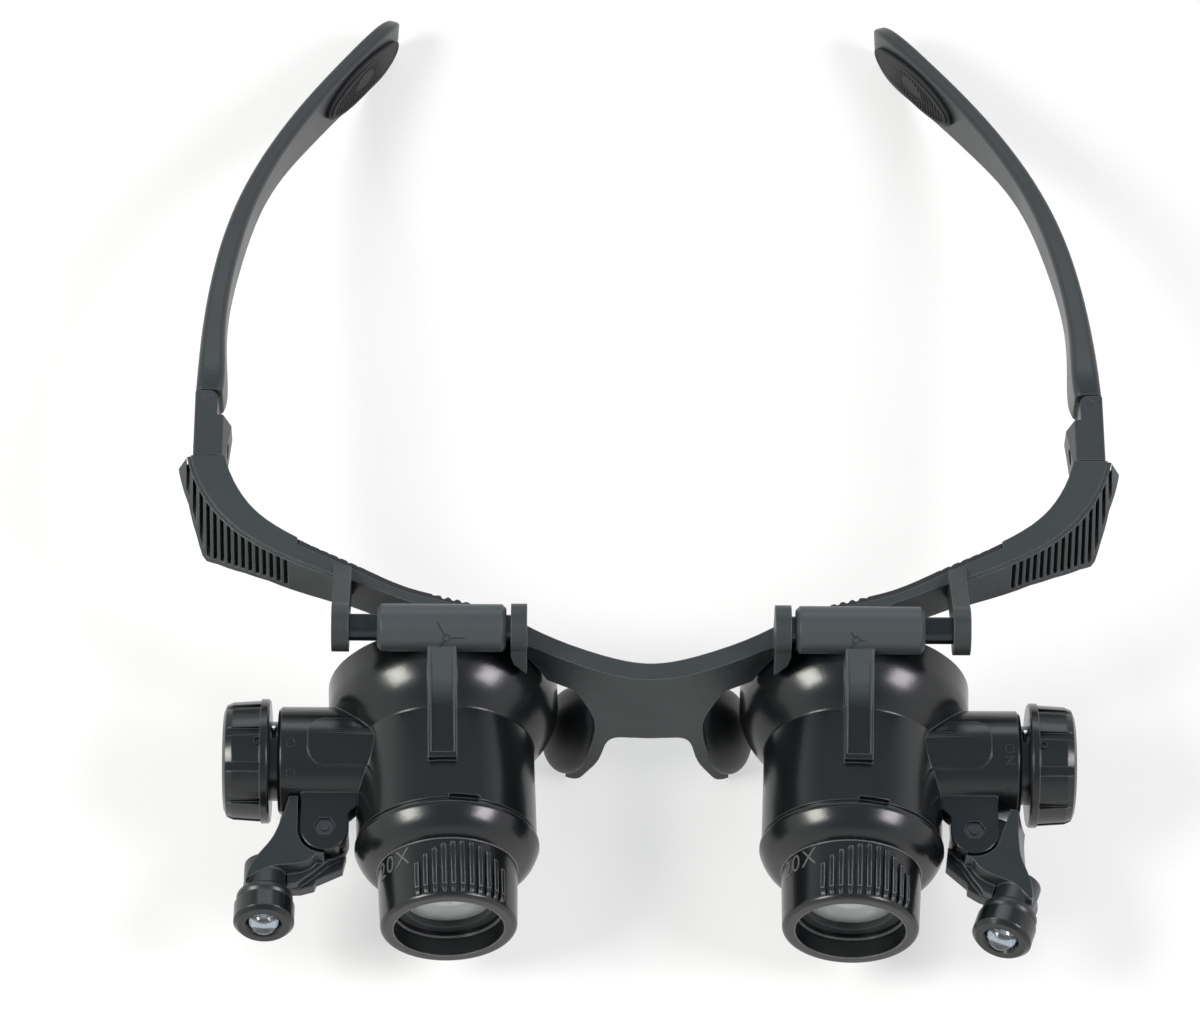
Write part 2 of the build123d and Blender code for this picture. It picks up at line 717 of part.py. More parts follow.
def body_inside():
    cup_radius = rim_radius - rim_wall
    spigot_start = body_length - spigot_length - seat_gap
    groove_back = body_length - bayonet_lug_back - bayonet_lug_length - fit_gap
    groove_front = body_length - bayonet_lug_back + fit_gap
    bore = spigot_radius + fit_gap
    groove = spigot_radius + bayonet_lug_height + fit_gap
    inside = turned([(0, -overrun), (cup_radius, -overrun), (cup_radius, 0), (body_bore_radius + 1.4 * rim_wall, cup_depth),
                     (body_bore_radius, cup_depth), (body_bore_radius, spigot_start), (bore, spigot_start),
                     (bore, groove_back), (groove, groove_back), (groove, groove_front), (bore, groove_front),
                     (bore, body_length + overrun), (0, body_length + overrun)])
    return Pos(0, rim_y, -optical_drop) * inside


def bayonet_entry():
    """Two straight slots that let the lugs of the lens barrel into the groove."""
    slots = []
    width = 2 * (spigot_radius + bayonet_lug_height) * tan(radians(bayonet_lug_angle / 2 + 2))
    for side in (0, 180):
        slot = block(-width / 2, width / 2, -overrun, bayonet_lug_back + bayonet_lug_length / 2, 0,
                     spigot_radius + bayonet_lug_height + fit_gap)
        slots.append(Pos(0, barrel_base_y, -optical_drop) * Rot(0, side + 90 + bayonet_travel + 10, 0) * slot)
    return slots


def web():
    """The rib that carries the eyepiece on its sleeve, with a shallow channel that ends at a lip."""
    body_top = body_radius - optical_drop
    root = sleeve_radius * 0.82
    outline = [(-root * 0.6, root * 0.55), (-sleeve_radius * 1.5, -sleeve_radius * 0.15),
               (web_end_y, body_top + web_rise), (web_end_y, body_top - web_rise), (0, body_top - web_rise),
               (0, 0)]
    rib = in_side_view(outline, -web_width / 2, web_width / 2)
    channel_half = web_width / 2 - web_edge_width
    rise_start = -sleeve_radius * 0.15
    channel_end = web_end_y + web_lip
    floor = [(-sleeve_radius, rise_start + overrun), (channel_end, body_top + web_rise + overrun),
             (channel_end, body_top + web_rise - web_channel_depth),
             (-sleeve_radius * 1.5, rise_start - web_channel_depth), (-sleeve_radius, rise_start + web_rise)]
    channel = in_side_view(floor, -channel_half, channel_half)
    return rib - channel


def tube_outside():
    return tube_place(turned([(0, eyepiece_x), (tube_radius, eyepiece_x), (tube_radius, tube_end_x - 0.4 * cap_gap),
                              (tube_radius - 0.4 * cap_gap, tube_end_x), (0, tube_end_x)]))


def tube_pad():
    """Low raised field with rounded corners on the top of the tube, running out of the body."""
    field_radius = tube_radius + tube_pad_height
    end = tube_end_x - tube_pad_end
    shell = tube_place(turned([(0, eyepiece_x), (field_radius, eyepiece_x), (field_radius, end), (0, end)]))
    wide = 2 * field_radius * sin(radians(tube_pad_angle / 2))
    outline = Pos((eyepiece_x + end) / 2, 0, 0) * RectangleRounded(end - eyepiece_x, wide, tube_pad_corner)
    column = Pos(0, tube_y, -optical_drop) * Rot(tube_pad_turn, 0, 0) * extrude(outline, amount=field_radius * 2)
    return shell & column


def tube_inside():
    boss_start = tube_end_x - cap_boss_depth
    return tube_place(turned([(0, tube_floor_x), (cell_bore_radius, tube_floor_x), (cell_bore_radius, boss_start),
                              (cap_bore_radius, boss_start), (cap_bore_radius, tube_end_x + overrun),
                              (0, tube_end_x + overrun)]))


def lug_face(gap):
    """Plan of the lamp lug round its pivot, u outward and v forward, drawn at X = u, Y = -v."""
    half = lug_half_width + gap
    outer = lug_outer_half_width + gap
    inner = lug_inner_half_width + gap
    back = pivot_y - tube_y
    centre = lug_end_centre
    lines = Line((outer, -back), (half, -centre))
    lines += ThreePointArc((half, -centre), (0, -centre - half), (-half, -centre))
    step_end = lug_step_back + lug_inner_half_width - lug_half_width
    lines += Polyline((-half, -centre), (-half, lug_step_back - gap), (-inner, step_end), (-inner, -back),
                      (outer, -back))
    return make_face(lines)


def lamp_lug():
    plate = Pos(pivot_x, pivot_y, lug_floor) * extrude(lug_face(0), amount=lug_thickness)
    top_edges = plate.edges().group_by(Axis.Z)[-1]
    plate = rounded(plate, top_edges, lug_edge_round)
    return plate


def pivot_column(radius, z_low, z_high):
    return Pos(pivot_x, pivot_y, (z_low + z_high) / 2) * Cylinder(radius, z_high - z_low)


def nut_recess(flats, z_low, z_high):
    across_corners = flats / cos(radians(30))
    hexagon = RegularPolygon(across_corners / 2, 6)
    return Pos(pivot_x, pivot_y, z_low) * extrude(hexagon, amount=z_high - z_low)


def eyepiece_housing(notch_angle):
    sleeve = Pos(sleeve_inner_end(), 0, 0) * along_x(turned(
        [(0, 0), (sleeve_radius - sleeve_end_round, 0), (sleeve_radius, sleeve_end_round),
         (sleeve_radius, sleeve_length - sleeve_end_round), (sleeve_radius - sleeve_end_round, sleeve_length),
         (0, sleeve_length)]))
    rib = Pos(eyepiece_x, 0, 0) * Rot(0, 0, -web_toe_in) * web()
    outside = toed(body_outside()) + rib + sleeve + tube_outside() + tube_pad() + lamp_lug()
    outside = outside - toed(body_inside()) - tube_inside()
    for slot in bayonet_entry():
        outside = outside - toed(slot)
    notch = block(-notch_width / 2, notch_width / 2, -notch_length, overrun, body_radius - notch_depth,
                  body_radius + overrun)
    notch = Pos(0, barrel_base_y, -optical_drop) * Rot(0, notch_angle, 0) * notch
    notch = notch & (Pos(0, barrel_base_y, -optical_drop) * block(-body_radius, body_radius, -overrun,
                                                                  notch_length, -overrun, body_radius * 2))
    outside = outside - toed(notch)
    bore = rod_bore(rod_radius + fit_gap, sleeve_inner_end() - overrun, sleeve_outer_end() + overrun)
    flat_z = rod_radius - rod_flat_depth + fit_gap
    bore = bore - block(sleeve_inner_end() - overrun, sleeve_outer_end() + overrun, -rod_radius * 2,
                        rod_radius * 2, flat_z, rod_radius * 2)
    outside = outside - bore
    outside = outside - pivot_column(lamp_screw_radius + seat_gap, lug_floor - overrun, lug_top + overrun)
    return outside - nut_recess(nut_flats + seat_gap * 2, lug_top - nut_set_down - nut_height, lug_top + overrun)


def hinge_rod():
    x_low = inner_ear_x + rod_end_set_in + seat_gap
    x_high = outer_ear_x + outer_ear_thickness - rod_end_set_in - seat_gap
    rod = rod_bore(rod_radius, x_low, x_high)
    flat_low = inner_ear_end + seat_gap
    flat_high = outer_ear_x - seat_gap
    return rod - block(flat_low, flat_high, -rod_radius * 2, rod_radius * 2, rod_radius - rod_flat_depth,
                       rod_radius * 2)


def barrel_outside():
    edges = Polyline((0, spigot_length), (spigot_radius, spigot_length), (spigot_radius, 0),
                     (flange_radius - parting_step, 0), (flange_radius, -parting_step), (flange_radius, -flange_length))
    edges += Spline((flange_radius, -flange_length), (barrel_root_radius, -shoulder_length),
                    tangents=[(-0.35, -1), (-1, -0.3)])
    edges += Polyline((barrel_root_radius, -shoulder_length), (barrel_radius, -barrel_length + lip_round))
    edges += ThreePointArc((barrel_radius, -barrel_length + lip_round),
                           (barrel_radius - lip_round * (1 - sqrt(0.5)), -barrel_length + lip_round * (1 - sqrt(0.5))),
                           (barrel_radius - lip_round, -barrel_length))
    edges += Polyline((barrel_radius - lip_round, -barrel_length), (0, -barrel_length), (0, spigot_length))
    return turned_edges(edges)


def barrel_inside():
    seat = lens_seat_t
    back_radius = spigot_radius - rim_wall
    return turned([(0, -spigot_length - overrun), (back_radius, -spigot_length - overrun),
                   (back_radius, -spigot_length), (lens_seat_radius, seat - rim_wall), (lens_seat_radius, seat),
                   (lens_bore_radius, seat), (lens_bore_radius, barrel_length - mouth_depth),
                   (mouth_radius, barrel_length - mouth_depth), (mouth_radius, barrel_length + overrun),
                   (0, barrel_length + overrun)])


def lens_barrel(grip_centre):
    """The turned barrel, its bayonet lugs and the field of grip ribs; the top of the barrel is at +Z."""
    barrel = barrel_outside()
    half_angle = bayonet_lug_angle / 2
    lug_width = 2 * spigot_radius * tan(radians(half_angle))
    lug_ring = turned([(spigot_radius - rim_wall / 2, -bayonet_lug_back - bayonet_lug_length),
                       (spigot_radius + bayonet_lug_height, -bayonet_lug_back - bayonet_lug_length),
                       (spigot_radius + bayonet_lug_height, -bayonet_lug_back),
                       (spigot_radius - rim_wall / 2, -bayonet_lug_back)])
    for side in (90, 270):
        sector = Rot(0, side, 0) * block(-lug_width / 2, lug_width / 2, -overrun, spigot_length + overrun, 0,
                                         body_radius)
        barrel = barrel + (lug_ring & sector)
    ribs = []
    middle = (grip_count - 1) / 2
    for index in range(grip_count):
        offset = (index - middle) / middle
        start = grip_start + grip_arch * offset * offset
        end = barrel_length - grip_end_set_back
        rib = block(-grip_width / 2, grip_width / 2, -end, -start, barrel_radius - grip_height,
                    barrel_root_radius + grip_height)
        ribs.append(Rot(0, grip_centre + (index - middle) * grip_pitch_angle, 0) * rib)
    for rib in ribs:
        barrel = barrel + rib
    barrel = barrel - barrel_inside()
    return on_optical_axis(barrel, barrel_base_y)


def lens(radius, edge, crown, base_t):
    """A biconvex lens with a flat rim all round; crown is the bulge of each face."""
    rear = -base_t
    front = -base_t - edge
    ball_radius = (lens_clear_radius ** 2 + crown ** 2) / (crown * 2)
    rim = make_face(Polyline((0, rear), (radius, rear), (radius, front), (0, front), close=True))
    clear = Pos(0, (rear + front) / 2) * Rectangle(lens_clear_radius * 2, edge + crown * 2)
    rear_bulge = clear & (Pos(0, rear + crown - ball_radius) * Circle(ball_radius))
    front_bulge = clear & (Pos(0, front - crown + ball_radius) * Circle(ball_radius))
    half = Pos(radius / 2, (rear + front) / 2) * Rectangle(radius, edge + crown * 2)
    outline = (rim + (rear_bulge & front_bulge & half)).face()
    return on_optical_axis(revolve(outline, Axis.Y), barrel_base_y)


def ring(outer_radius, inner_radius, base_t, length):
    return on_optical_axis(turned([(inner_radius, base_t), (outer_radius, base_t), (outer_radius, base_t + length),
                                   (inner_radius, base_t + length)]), barrel_base_y)


def rear_lens():
    return lens(lens_bore_radius - seat_gap, rear_lens_edge, rear_lens_crown, lens_seat_t)


def spacer_base():
    return lens_seat_t + rear_lens_edge


def front_lens_base():
    return spacer_base() + spacer_length


def retaining_base():
    return front_lens_base() + front_lens_edge


def battery_cap():
    face_x = tube_end_x + cap_gap
    boss_radius = cap_bore_radius - fit_gap
    hollow = cell_bore_radius
    hollow_end = cells_end_x() + contact_thickness
    boss_start = tube_end_x - cap_boss_depth + seat_gap
    body_end = face_x + cap_length
    grip_start_x = face_x + cap_rim_length
    edges = [(hollow, boss_start), (boss_radius, boss_start), (boss_radius, face_x),
             (cap_radius - cap_rim_step, face_x), (cap_radius, face_x + cap_rim_step), (cap_radius, grip_start_x),
             (cap_radius - cap_rim_step, grip_start_x), (cap_radius - cap_rim_step * 2, body_end - cap_end_round),
             (cap_radius - cap_rim_step * 2 - cap_end_round * 0.3, body_end - cap_end_round * 0.3),
             (cap_radius - cap_rim_step * 2 - cap_end_round, body_end), (0, body_end), (0, hollow_end),
             (hollow, hollow_end)]
    cap = turned(edges)
    groove_floor = cap_radius - cap_rim_step - cap_groove_depth
    for index in range(cap_groove_count):
        angle = index * 360 / cap_groove_count
        groove = block(-cap_groove_width / 2, cap_groove_width / 2, -body_end - overrun, -grip_start_x,
                       groove_floor, cap_radius + overrun)
        cap = cap - Rot(0, angle, 0) * groove
    return tube_place(cap)


def cells_start_x():
    return tube_floor_x + contact_thickness + spring_height


def cells_end_x():
    return cells_start_x() + cell_count * cell_height


def battery_cells():
    cells = []
    for index in range(cell_count):
        low = cells_start_x() + index * cell_height
        high = low + cell_height
        inset = cell_radius - cell_edge_round * 2
        cells.append(tube_place(turned([(0, low), (inset, low), (inset, low + cell_edge_round),
                                        (cell_radius, low + cell_edge_round), (cell_radius, high), (0, high)])))
    return cells


def battery_spring():
    """Bowed leaf that presses the cells against the contact in the cap."""
    half = spring_length / 2
    rise = spring_height
    strip = spring_strip
    edges = ThreePointArc((-half, 0), (0, -rise), (half, 0))
    edges += Polyline((half, 0), (half - strip, 0))
    edges += ThreePointArc((half - strip, 0), (0, strip - rise), (strip - half, 0))
    edges += Polyline((strip - half, 0), (-half, 0))
    leaf = Pos(0, 0, -spring_width / 2) * extrude(make_face(edges), amount=spring_width)
    return tube_place(Pos(0, -tube_floor_x - contact_thickness, 0) * leaf)


def contact_disc(start_x, radius):
    return tube_place(turned([(0, start_x), (radius, start_x), (radius, start_x + contact_thickness),
                              (0, start_x + contact_thickness)]))


def head_place(solid):
    """Put a piece drawn forward from the neck's start on the tilted axis of the lamp head."""
    return Pos(pivot_x + head_u, pivot_y - head_start_v, head_z) * Rot(-head_tilt, 0, 0) * solid


def arm_points(shares):
    return [(u * head_u, -v * head_u) for u, v in shares]


def arm_face(outer_shares, front_shares):
    outer = arm_points(outer_shares)
    front = arm_points(front_shares)
    inner = (0, front[-1][1])
    edges = Spline(*outer) + Line(outer[-1], front[0]) + Spline(*front)
    edges += Polyline(front[-1], inner, (0, outer[0][1]), outer[0])
    return make_face(edges)


def arm_shelf(shares, drop):
    """A lower part of the arm, from its floor up to a drop below the top."""
    outline = make_face(Polyline(*arm_points(shares), close=True))
    return Pos(0, 0, arm_floor) * extrude(outline, amount=arm_height - drop)


def lamp_arm():
    top_face = Pos(0, 0, arm_top) * arm_face(arm_top_outer_shares, arm_top_front_shares)
    floor_face = Pos(0, 0, arm_floor) * arm_face(arm_floor_outer_shares, arm_floor_front_shares)
    arm = loft([floor_face, top_face], ruled=True)
    arm = arm + arm_shelf(arm_ledge_shares, arm_ledge_drop) + arm_shelf(arm_foot_shares, arm_foot_drop)
    arm = Pos(pivot_x, pivot_y, 0) * arm
    base = Pos(pivot_x, pivot_y, arm_floor) * Cylinder(lug_half_width, (lug_floor - seat_gap - arm_floor) * 2)
    arm = arm + (base & block(pivot_x - head_u, pivot_x + head_u, pivot_y - head_u, pivot_y + head_u, arm_floor,
                              lug_floor))
    pocket = Pos(pivot_x, pivot_y, lug_floor - seat_gap) * extrude(lug_face(arm_gap), amount=lug_thickness * 3)
    arm = arm - pocket
    tube_room = tube_place(turned([(0, eyepiece_x), (tube_radius + arm_gap, eyepiece_x),
                                   (tube_radius + arm_gap, tube_end_x + overrun), (0, tube_end_x + overrun)]))
    arm = arm - tube_room
    neck_end = neck_length
    collar_end = neck_end + collar_length
    seat_end = collar_end + ring_spigot_length
    neck = turned([(0, -neck_radius), (neck_radius, -neck_radius * 0.4), (neck_radius, neck_end),
                   (collar_radius - collar_length * 0.25, neck_end), (collar_radius, neck_end + collar_length * 0.3),
                   (collar_radius, collar_end - collar_length * 0.3), (collar_radius - collar_length * 0.15, collar_end),
                   (ring_spigot_radius, collar_end), (ring_spigot_radius, seat_end), (0, seat_end)])
    bore_start = seat_end - bulb_flange_length - bulb_flange_length
    hollow = turned([(0, bore_start - lead_length), (lead_spacing, bore_start - lead_length),
                     (lead_spacing, bore_start), (bulb_flange_radius + seat_gap, bore_start),
                     (bulb_flange_radius + seat_gap, seat_end + overrun), (0, seat_end + overrun)])
    arm = arm + head_place(neck)
    arm = arm - head_place(hollow)
    arm = arm - pivot_column(lamp_screw_radius + fit_gap, arm_floor - overrun, arm_top + overrun)
    return arm - pivot_column(lamp_screw_head_radius + fit_gap, arm_floor - overrun,
                              arm_floor + lamp_screw_head_height)


def bulb_base():
    """Where the flange of the bulb sits, measured forward from the neck's start."""
    return neck_length + collar_length + ring_spigot_length - bulb_flange_length


def lamp_ring():
    collar_end = neck_length + collar_length
    base = collar_end + ring_groove_length
    end = collar_end + ring_length + ring_groove_length
    seat_end = collar_end + ring_spigot_length
    inner = ring_spigot_radius + seat_gap
    aperture = bulb_radius + seat_gap
    mouth = bulb_radius + ring_front_chamfer
    shape = turned([(inner, collar_end), (ring_groove_radius, collar_end), (ring_groove_radius, base),
                    (ring_radius, base), (ring_radius, end - ring_front_chamfer),
                    (ring_radius - ring_front_chamfer, end), (mouth, end), (aperture, end - ring_front_chamfer),
                    (aperture, seat_end + seat_gap), (inner, seat_end + seat_gap)])
    return head_place(shape)


def bulb():
    base = bulb_base()
    flange_end = base + bulb_flange_length
    front = neck_length + collar_length + ring_length + ring_groove_length + bulb_proud
    dome_start = front - bulb_radius
    edges = Polyline((0, -base), (bulb_flange_radius, -base), (bulb_flange_radius, -flange_end),
                     (bulb_radius, -flange_end), (bulb_radius, -dome_start))
    edges += ThreePointArc((bulb_radius, -dome_start), (bulb_radius * sqrt(0.5), -dome_start - bulb_radius * sqrt(0.5)),
                           (0, -front))
    edges += Line((0, -front), (0, -base))
    return head_place(turned_edges(edges))


def bulb_leads():
    leads = []
    for side in (-1, 1):
        lead = turned([(0, bulb_base() - lead_length), (lead_radius, bulb_base() - lead_length),
                       (lead_radius, bulb_base()), (0, bulb_base())])
        leads.append(head_place(Pos(side * lead_spacing / 2, 0, 0) * lead))
    return leads


def lamp_screw():
    """Round-headed screw that comes up through the arm and the lug into the nut."""
    head_low = arm_floor
    shank_top = lug_top - nut_set_down / 2
    head = pivot_column(lamp_screw_head_radius, head_low, head_low + lamp_screw_head_height - seat_gap)
    slot = block(pivot_x - lamp_screw_head_radius, pivot_x + lamp_screw_head_radius,
                 pivot_y - lamp_screw_radius / 4, pivot_y + lamp_screw_radius / 4,
                 head_low - seat_gap, head_low + lamp_screw_head_height / 2)
    return head + pivot_column(lamp_screw_radius, head_low, shank_top) - slot


def lamp_nut():
    low = lug_top - nut_set_down - nut_height
    nut = nut_recess(nut_flats, low, low + nut_height)
    return nut - pivot_column(lamp_screw_radius + seat_gap / 2, low - overrun, low + nut_height + overrun)


def swung(solid, angle):
    """Swing a lamp piece inward about its pivot, drawn on the +X side."""
    return Pos(pivot_x, pivot_y, 0) * Rot(0, 0, -angle) * Pos(-pivot_x, -pivot_y, 0) * solid


def folded(solid, angle):
    return Pos(fold_pin_x, fold_pin_y, 0) * Rot(0, 0, angle) * Pos(-fold_pin_x, -fold_pin_y, 0) * solid


def side_pieces(frame, lamp_swing, temple_fold, marks_angle):
    """Every piece of one side, drawn at +X."""
    arm = temple()
    pieces = {
        "nose_pad": nose_pad(frame),
        "brow_pad": brow_pad(),
        "hinge_block": hinge_block(),
        "block_screw": block_screw(),
        "temple_pin": fold_pin(),
        "temple": folded(arm, temple_fold),
        "tip_pad": folded(tip_pad(arm), temple_fold),
        "hinge_rod": hinge_rod(),
        "eyepiece_housing": eyepiece_housing(marks_angle),
        "lens_barrel": lens_barrel(marks_angle),
        "rear_lens": rear_lens(),
        "lens_spacer": ring(lens_bore_radius - seat_gap, lens_bore_radius - spacer_wall, spacer_base(), spacer_length),
        "front_lens": lens(lens_bore_radius - seat_gap, front_lens_edge, front_lens_crown, front_lens_base()),
        "retaining_ring": ring(lens_bore_radius - seat_gap, lens_bore_radius - retaining_wall, retaining_base(),
                               retaining_length),
        "battery_cap": battery_cap(),
        "cap_contact": contact_disc(cells_end_x(), cell_bore_radius - seat_gap),
        "battery_cells": battery_cells(),
        "battery_spring": battery_spring(),
        "tube_contact": contact_disc(tube_floor_x, cell_bore_radius - seat_gap),
        "lamp_arm": swung(lamp_arm(), lamp_swing),
        "lamp_screw": lamp_screw(),
        "lamp_nut": lamp_nut(),
        "lamp_ring": swung(lamp_ring(), lamp_swing),
        "bulb": swung(bulb(), lamp_swing),
        "bulb_leads": [swung(lead, lamp_swing) for lead in bulb_leads()],
    }
    return pieces


def solids_of(shape):
    if isinstance(shape, list):
        return [solid for item in shape for solid in item.solids()]
    return list(shape.solids())


def build_all():
    frame = front_frame()
    nodes = {"front_frame": solids_of(frame)}
    right = side_pieces(frame, right_lamp_rest_swing, right_temple_rest_fold, grip_centre_angle)
    left = side_pieces(frame, 0, 0, -grip_centre_angle)
    for name, shape in right.items():
        nodes["right_" + name] = solids_of(shape)
    for name, shape in left.items():
        nodes["left_" + name] = [mirror(solid, Plane.YZ) for solid in solids_of(shape)]
    return nodes


def bottom_centre(nodes):
    boxes = [solid.bounding_box() for solids in nodes.values() for solid in solids]
    low = [min(getattr(box.min, axis) for box in boxes) for axis in "XYZ"]
    high = [max(getattr(box.max, axis) for box in boxes) for axis in "XYZ"]
    size = [b - a for a, b in zip(low, high)]
    return Vector((low[0] + high[0]) / 2, (low[1] + high[1]) / 2, low[2]), size


def main():
    os.makedirs("parts", exist_ok=True)
    nodes = build_all()
    origin, size = bottom_centre(nodes)
    print("origin moved by", [round(value, 4) for value in (-origin.X, -origin.Y, -origin.Z)])
    print("overall size", [round(value, 2) for value in size])
    for name, solids in nodes.items():
        moved = [Pos(-origin.X, -origin.Y, -origin.Z) * solid for solid in solids]
        shape = moved[0] if len(moved) == 1 else Compound(children=moved)
        export_step(shape, "parts/" + name + ".step")
    print("nodes", len(nodes))


main()
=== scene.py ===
import json
from math import cos, pi, radians, sin, sqrt

import bmesh
import bpy
from mathutils import Matrix, Vector


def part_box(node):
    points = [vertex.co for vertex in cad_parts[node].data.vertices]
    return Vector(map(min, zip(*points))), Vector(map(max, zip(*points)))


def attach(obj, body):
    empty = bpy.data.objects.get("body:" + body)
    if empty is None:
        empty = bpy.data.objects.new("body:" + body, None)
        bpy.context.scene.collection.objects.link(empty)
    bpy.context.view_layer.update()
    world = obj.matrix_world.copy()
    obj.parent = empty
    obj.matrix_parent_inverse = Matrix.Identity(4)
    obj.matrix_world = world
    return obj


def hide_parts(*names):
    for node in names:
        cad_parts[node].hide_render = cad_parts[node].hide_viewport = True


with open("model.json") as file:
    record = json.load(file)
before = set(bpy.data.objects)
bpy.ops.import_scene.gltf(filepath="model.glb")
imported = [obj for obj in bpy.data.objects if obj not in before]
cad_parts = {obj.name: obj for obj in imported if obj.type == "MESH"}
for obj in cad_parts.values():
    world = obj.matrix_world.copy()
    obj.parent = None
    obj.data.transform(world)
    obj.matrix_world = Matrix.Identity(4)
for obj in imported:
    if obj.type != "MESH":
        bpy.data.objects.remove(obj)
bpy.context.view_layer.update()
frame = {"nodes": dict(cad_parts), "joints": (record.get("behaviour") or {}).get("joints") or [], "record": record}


# The table, its light and the camera. The glasses stand on a plain white table that runs up behind them
# without a seam, between two soft boxes at the sides and a long one behind, in a white room with a darker
# ceiling. The camera has a long lens, and is placed and turned as for the photograph.
def joint(name):
    """The place and the direction of a joint's axis."""
    found = next(item for item in frame["joints"] if item["name"] == name)
    return Vector(found["pos_m"]), Vector(found["axis"]).normalized()


rod_centre = (joint("left_eyepiece_flip")[0] + joint("right_eyepiece_flip")[0]) / 2
photo_size, sensor_width = (1200, 1021), 36
focal_pixels, pixels_per_metre, rod_pixel = 6200, 6000, (651, 629)
camera_azimuth, camera_elevation, camera_roll = radians(-1), radians(57), radians(-1.2)
near_end, far_end = 0.05, 20
camera_distance = focal_pixels / pixels_per_metre
back = Vector((sin(camera_azimuth) * cos(camera_elevation), -cos(camera_azimuth) * cos(camera_elevation),
               sin(camera_elevation)))
level = (-back).cross(Vector((0, 0, 1))).normalized()
upright = level.cross(-back)
right = level * cos(camera_roll) - upright * sin(camera_roll)
up = upright * cos(camera_roll) + level * sin(camera_roll)
aside = (rod_pixel[0] - photo_size[0] / 2) / pixels_per_metre
above = -(rod_pixel[1] - photo_size[1] / 2) / pixels_per_metre
camera_data = bpy.data.cameras.new("camera")
camera_data.sensor_width = sensor_width
camera_data.lens = focal_pixels / photo_size[0] * sensor_width
camera_data.clip_start, camera_data.clip_end = near_end, far_end
camera = bpy.data.objects.new("camera", camera_data)
bpy.context.scene.collection.objects.link(camera)
stand = rod_centre + back * camera_distance - right * aside - up * above
camera.matrix_world = Matrix.Translation(stand) @ Matrix((right, up, back)).transposed().to_4x4()
bpy.context.scene.camera = camera
bpy.context.scene.view_settings.view_transform = "Standard"


def soft_box(name, direction, distance, size, watts, tint):
    light = bpy.data.lights.new(name, "AREA")
    light.shape = "RECTANGLE"
    light.size, light.size_y = size
    light.energy = watts
    light.color = tint
    holder = bpy.data.objects.new(name, light)
    bpy.context.scene.collection.objects.link(holder)
    away = Vector(direction).normalized()
    holder.location = rod_centre + away * distance
    holder.rotation_euler = away.to_track_quat("Z", "Y").to_euler()


soft_box("soft_box_left", direction=(-0.72, -0.22, 0.68), distance=1.1, size=(0.50, 0.36), watts=10.2,
         tint=(1.0, 1.0, 0.93))
soft_box("soft_box_right", direction=(0.72, -0.22, 0.68), distance=1.1, size=(0.50, 0.36), watts=7.9,
         tint=(1.0, 0.94, 0.99))
soft_box("soft_box_back", direction=(0.0, 0.777, 0.629), distance=1.2, size=(1.0, 0.34), watts=2.2,
         tint=(0.90, 0.97, 1.0))


def plug(tree, socket, value):
    """Set an input to a plain value, or link it to an output or to a node's first output."""
    if isinstance(value, bpy.types.Node):
        value = value.outputs[0]
    if isinstance(value, bpy.types.NodeSocket):
        tree.links.new(value, socket)
    else:
        socket.default_value = value


def added(tree, kind, *ordered, **named):
    """A new node. Values named in small letters are its modes, the rest goes to its inputs."""
    node = tree.nodes.new(kind)
    for name, value in named.items():
        if name.islower():
            setattr(node, name, value)
        else:
            plug(tree, node.inputs[name.replace("_", " ")], value)
    for socket, value in zip(node.inputs, ordered):
        plug(tree, socket, value)
    return node


def worked_out(tree, operation, *values):
    """The result of one Math node."""
    return added(tree, "ShaderNodeMath", *values, operation=operation).outputs[0]


def new_material(name):
    """An empty material and its node tree."""
    material = bpy.data.materials.new(name)
    material.use_nodes = True
    material.node_tree.nodes.clear()
    return material, material.node_tree


def seen_directly(tree):
    """One where the camera, a reflection or a view through glass looks at the surface."""
    path = added(tree, "ShaderNodeLightPath").outputs
    seen = worked_out(tree, "MAXIMUM", path["Is Camera Ray"], path["Is Glossy Ray"])
    return worked_out(tree, "MAXIMUM", seen, path["Is Transmission Ray"])


white, grey, dark_grey = (1, 1, 1, 1), (0.80, 0.80, 0.80, 1), (0.42, 0.42, 0.42, 1)
walls, ceiling = (0.25, white), (0.60, (0.43, 0.50, 0.56, 1))
world = bpy.data.worlds.new("white_room")
world.use_nodes = True
room = world.node_tree
room.nodes.clear()
room_light = added(room, "ShaderNodeBackground", Color=(0.90, 0.97, 1.0, 1), Strength=0.14)
room_way = added(room, "ShaderNodeTexCoord").outputs["Generated"]
room_height = added(room, "ShaderNodeSeparateXYZ", room_way).outputs["Z"]
room_tone = added(room, "ShaderNodeValToRGB", room_height)
for stop, (height, tone) in zip(room_tone.color_ramp.elements, (walls, ceiling)):
    stop.position, stop.color = height, tone
room_seen = added(room, "ShaderNodeBackground", Color=room_tone, Strength=1.0)
room_mix = added(room, "ShaderNodeMixShader", seen_directly(room), room_light, room_seen)
added(room, "ShaderNodeOutputWorld", Surface=room_mix)
bpy.context.scene.world = world

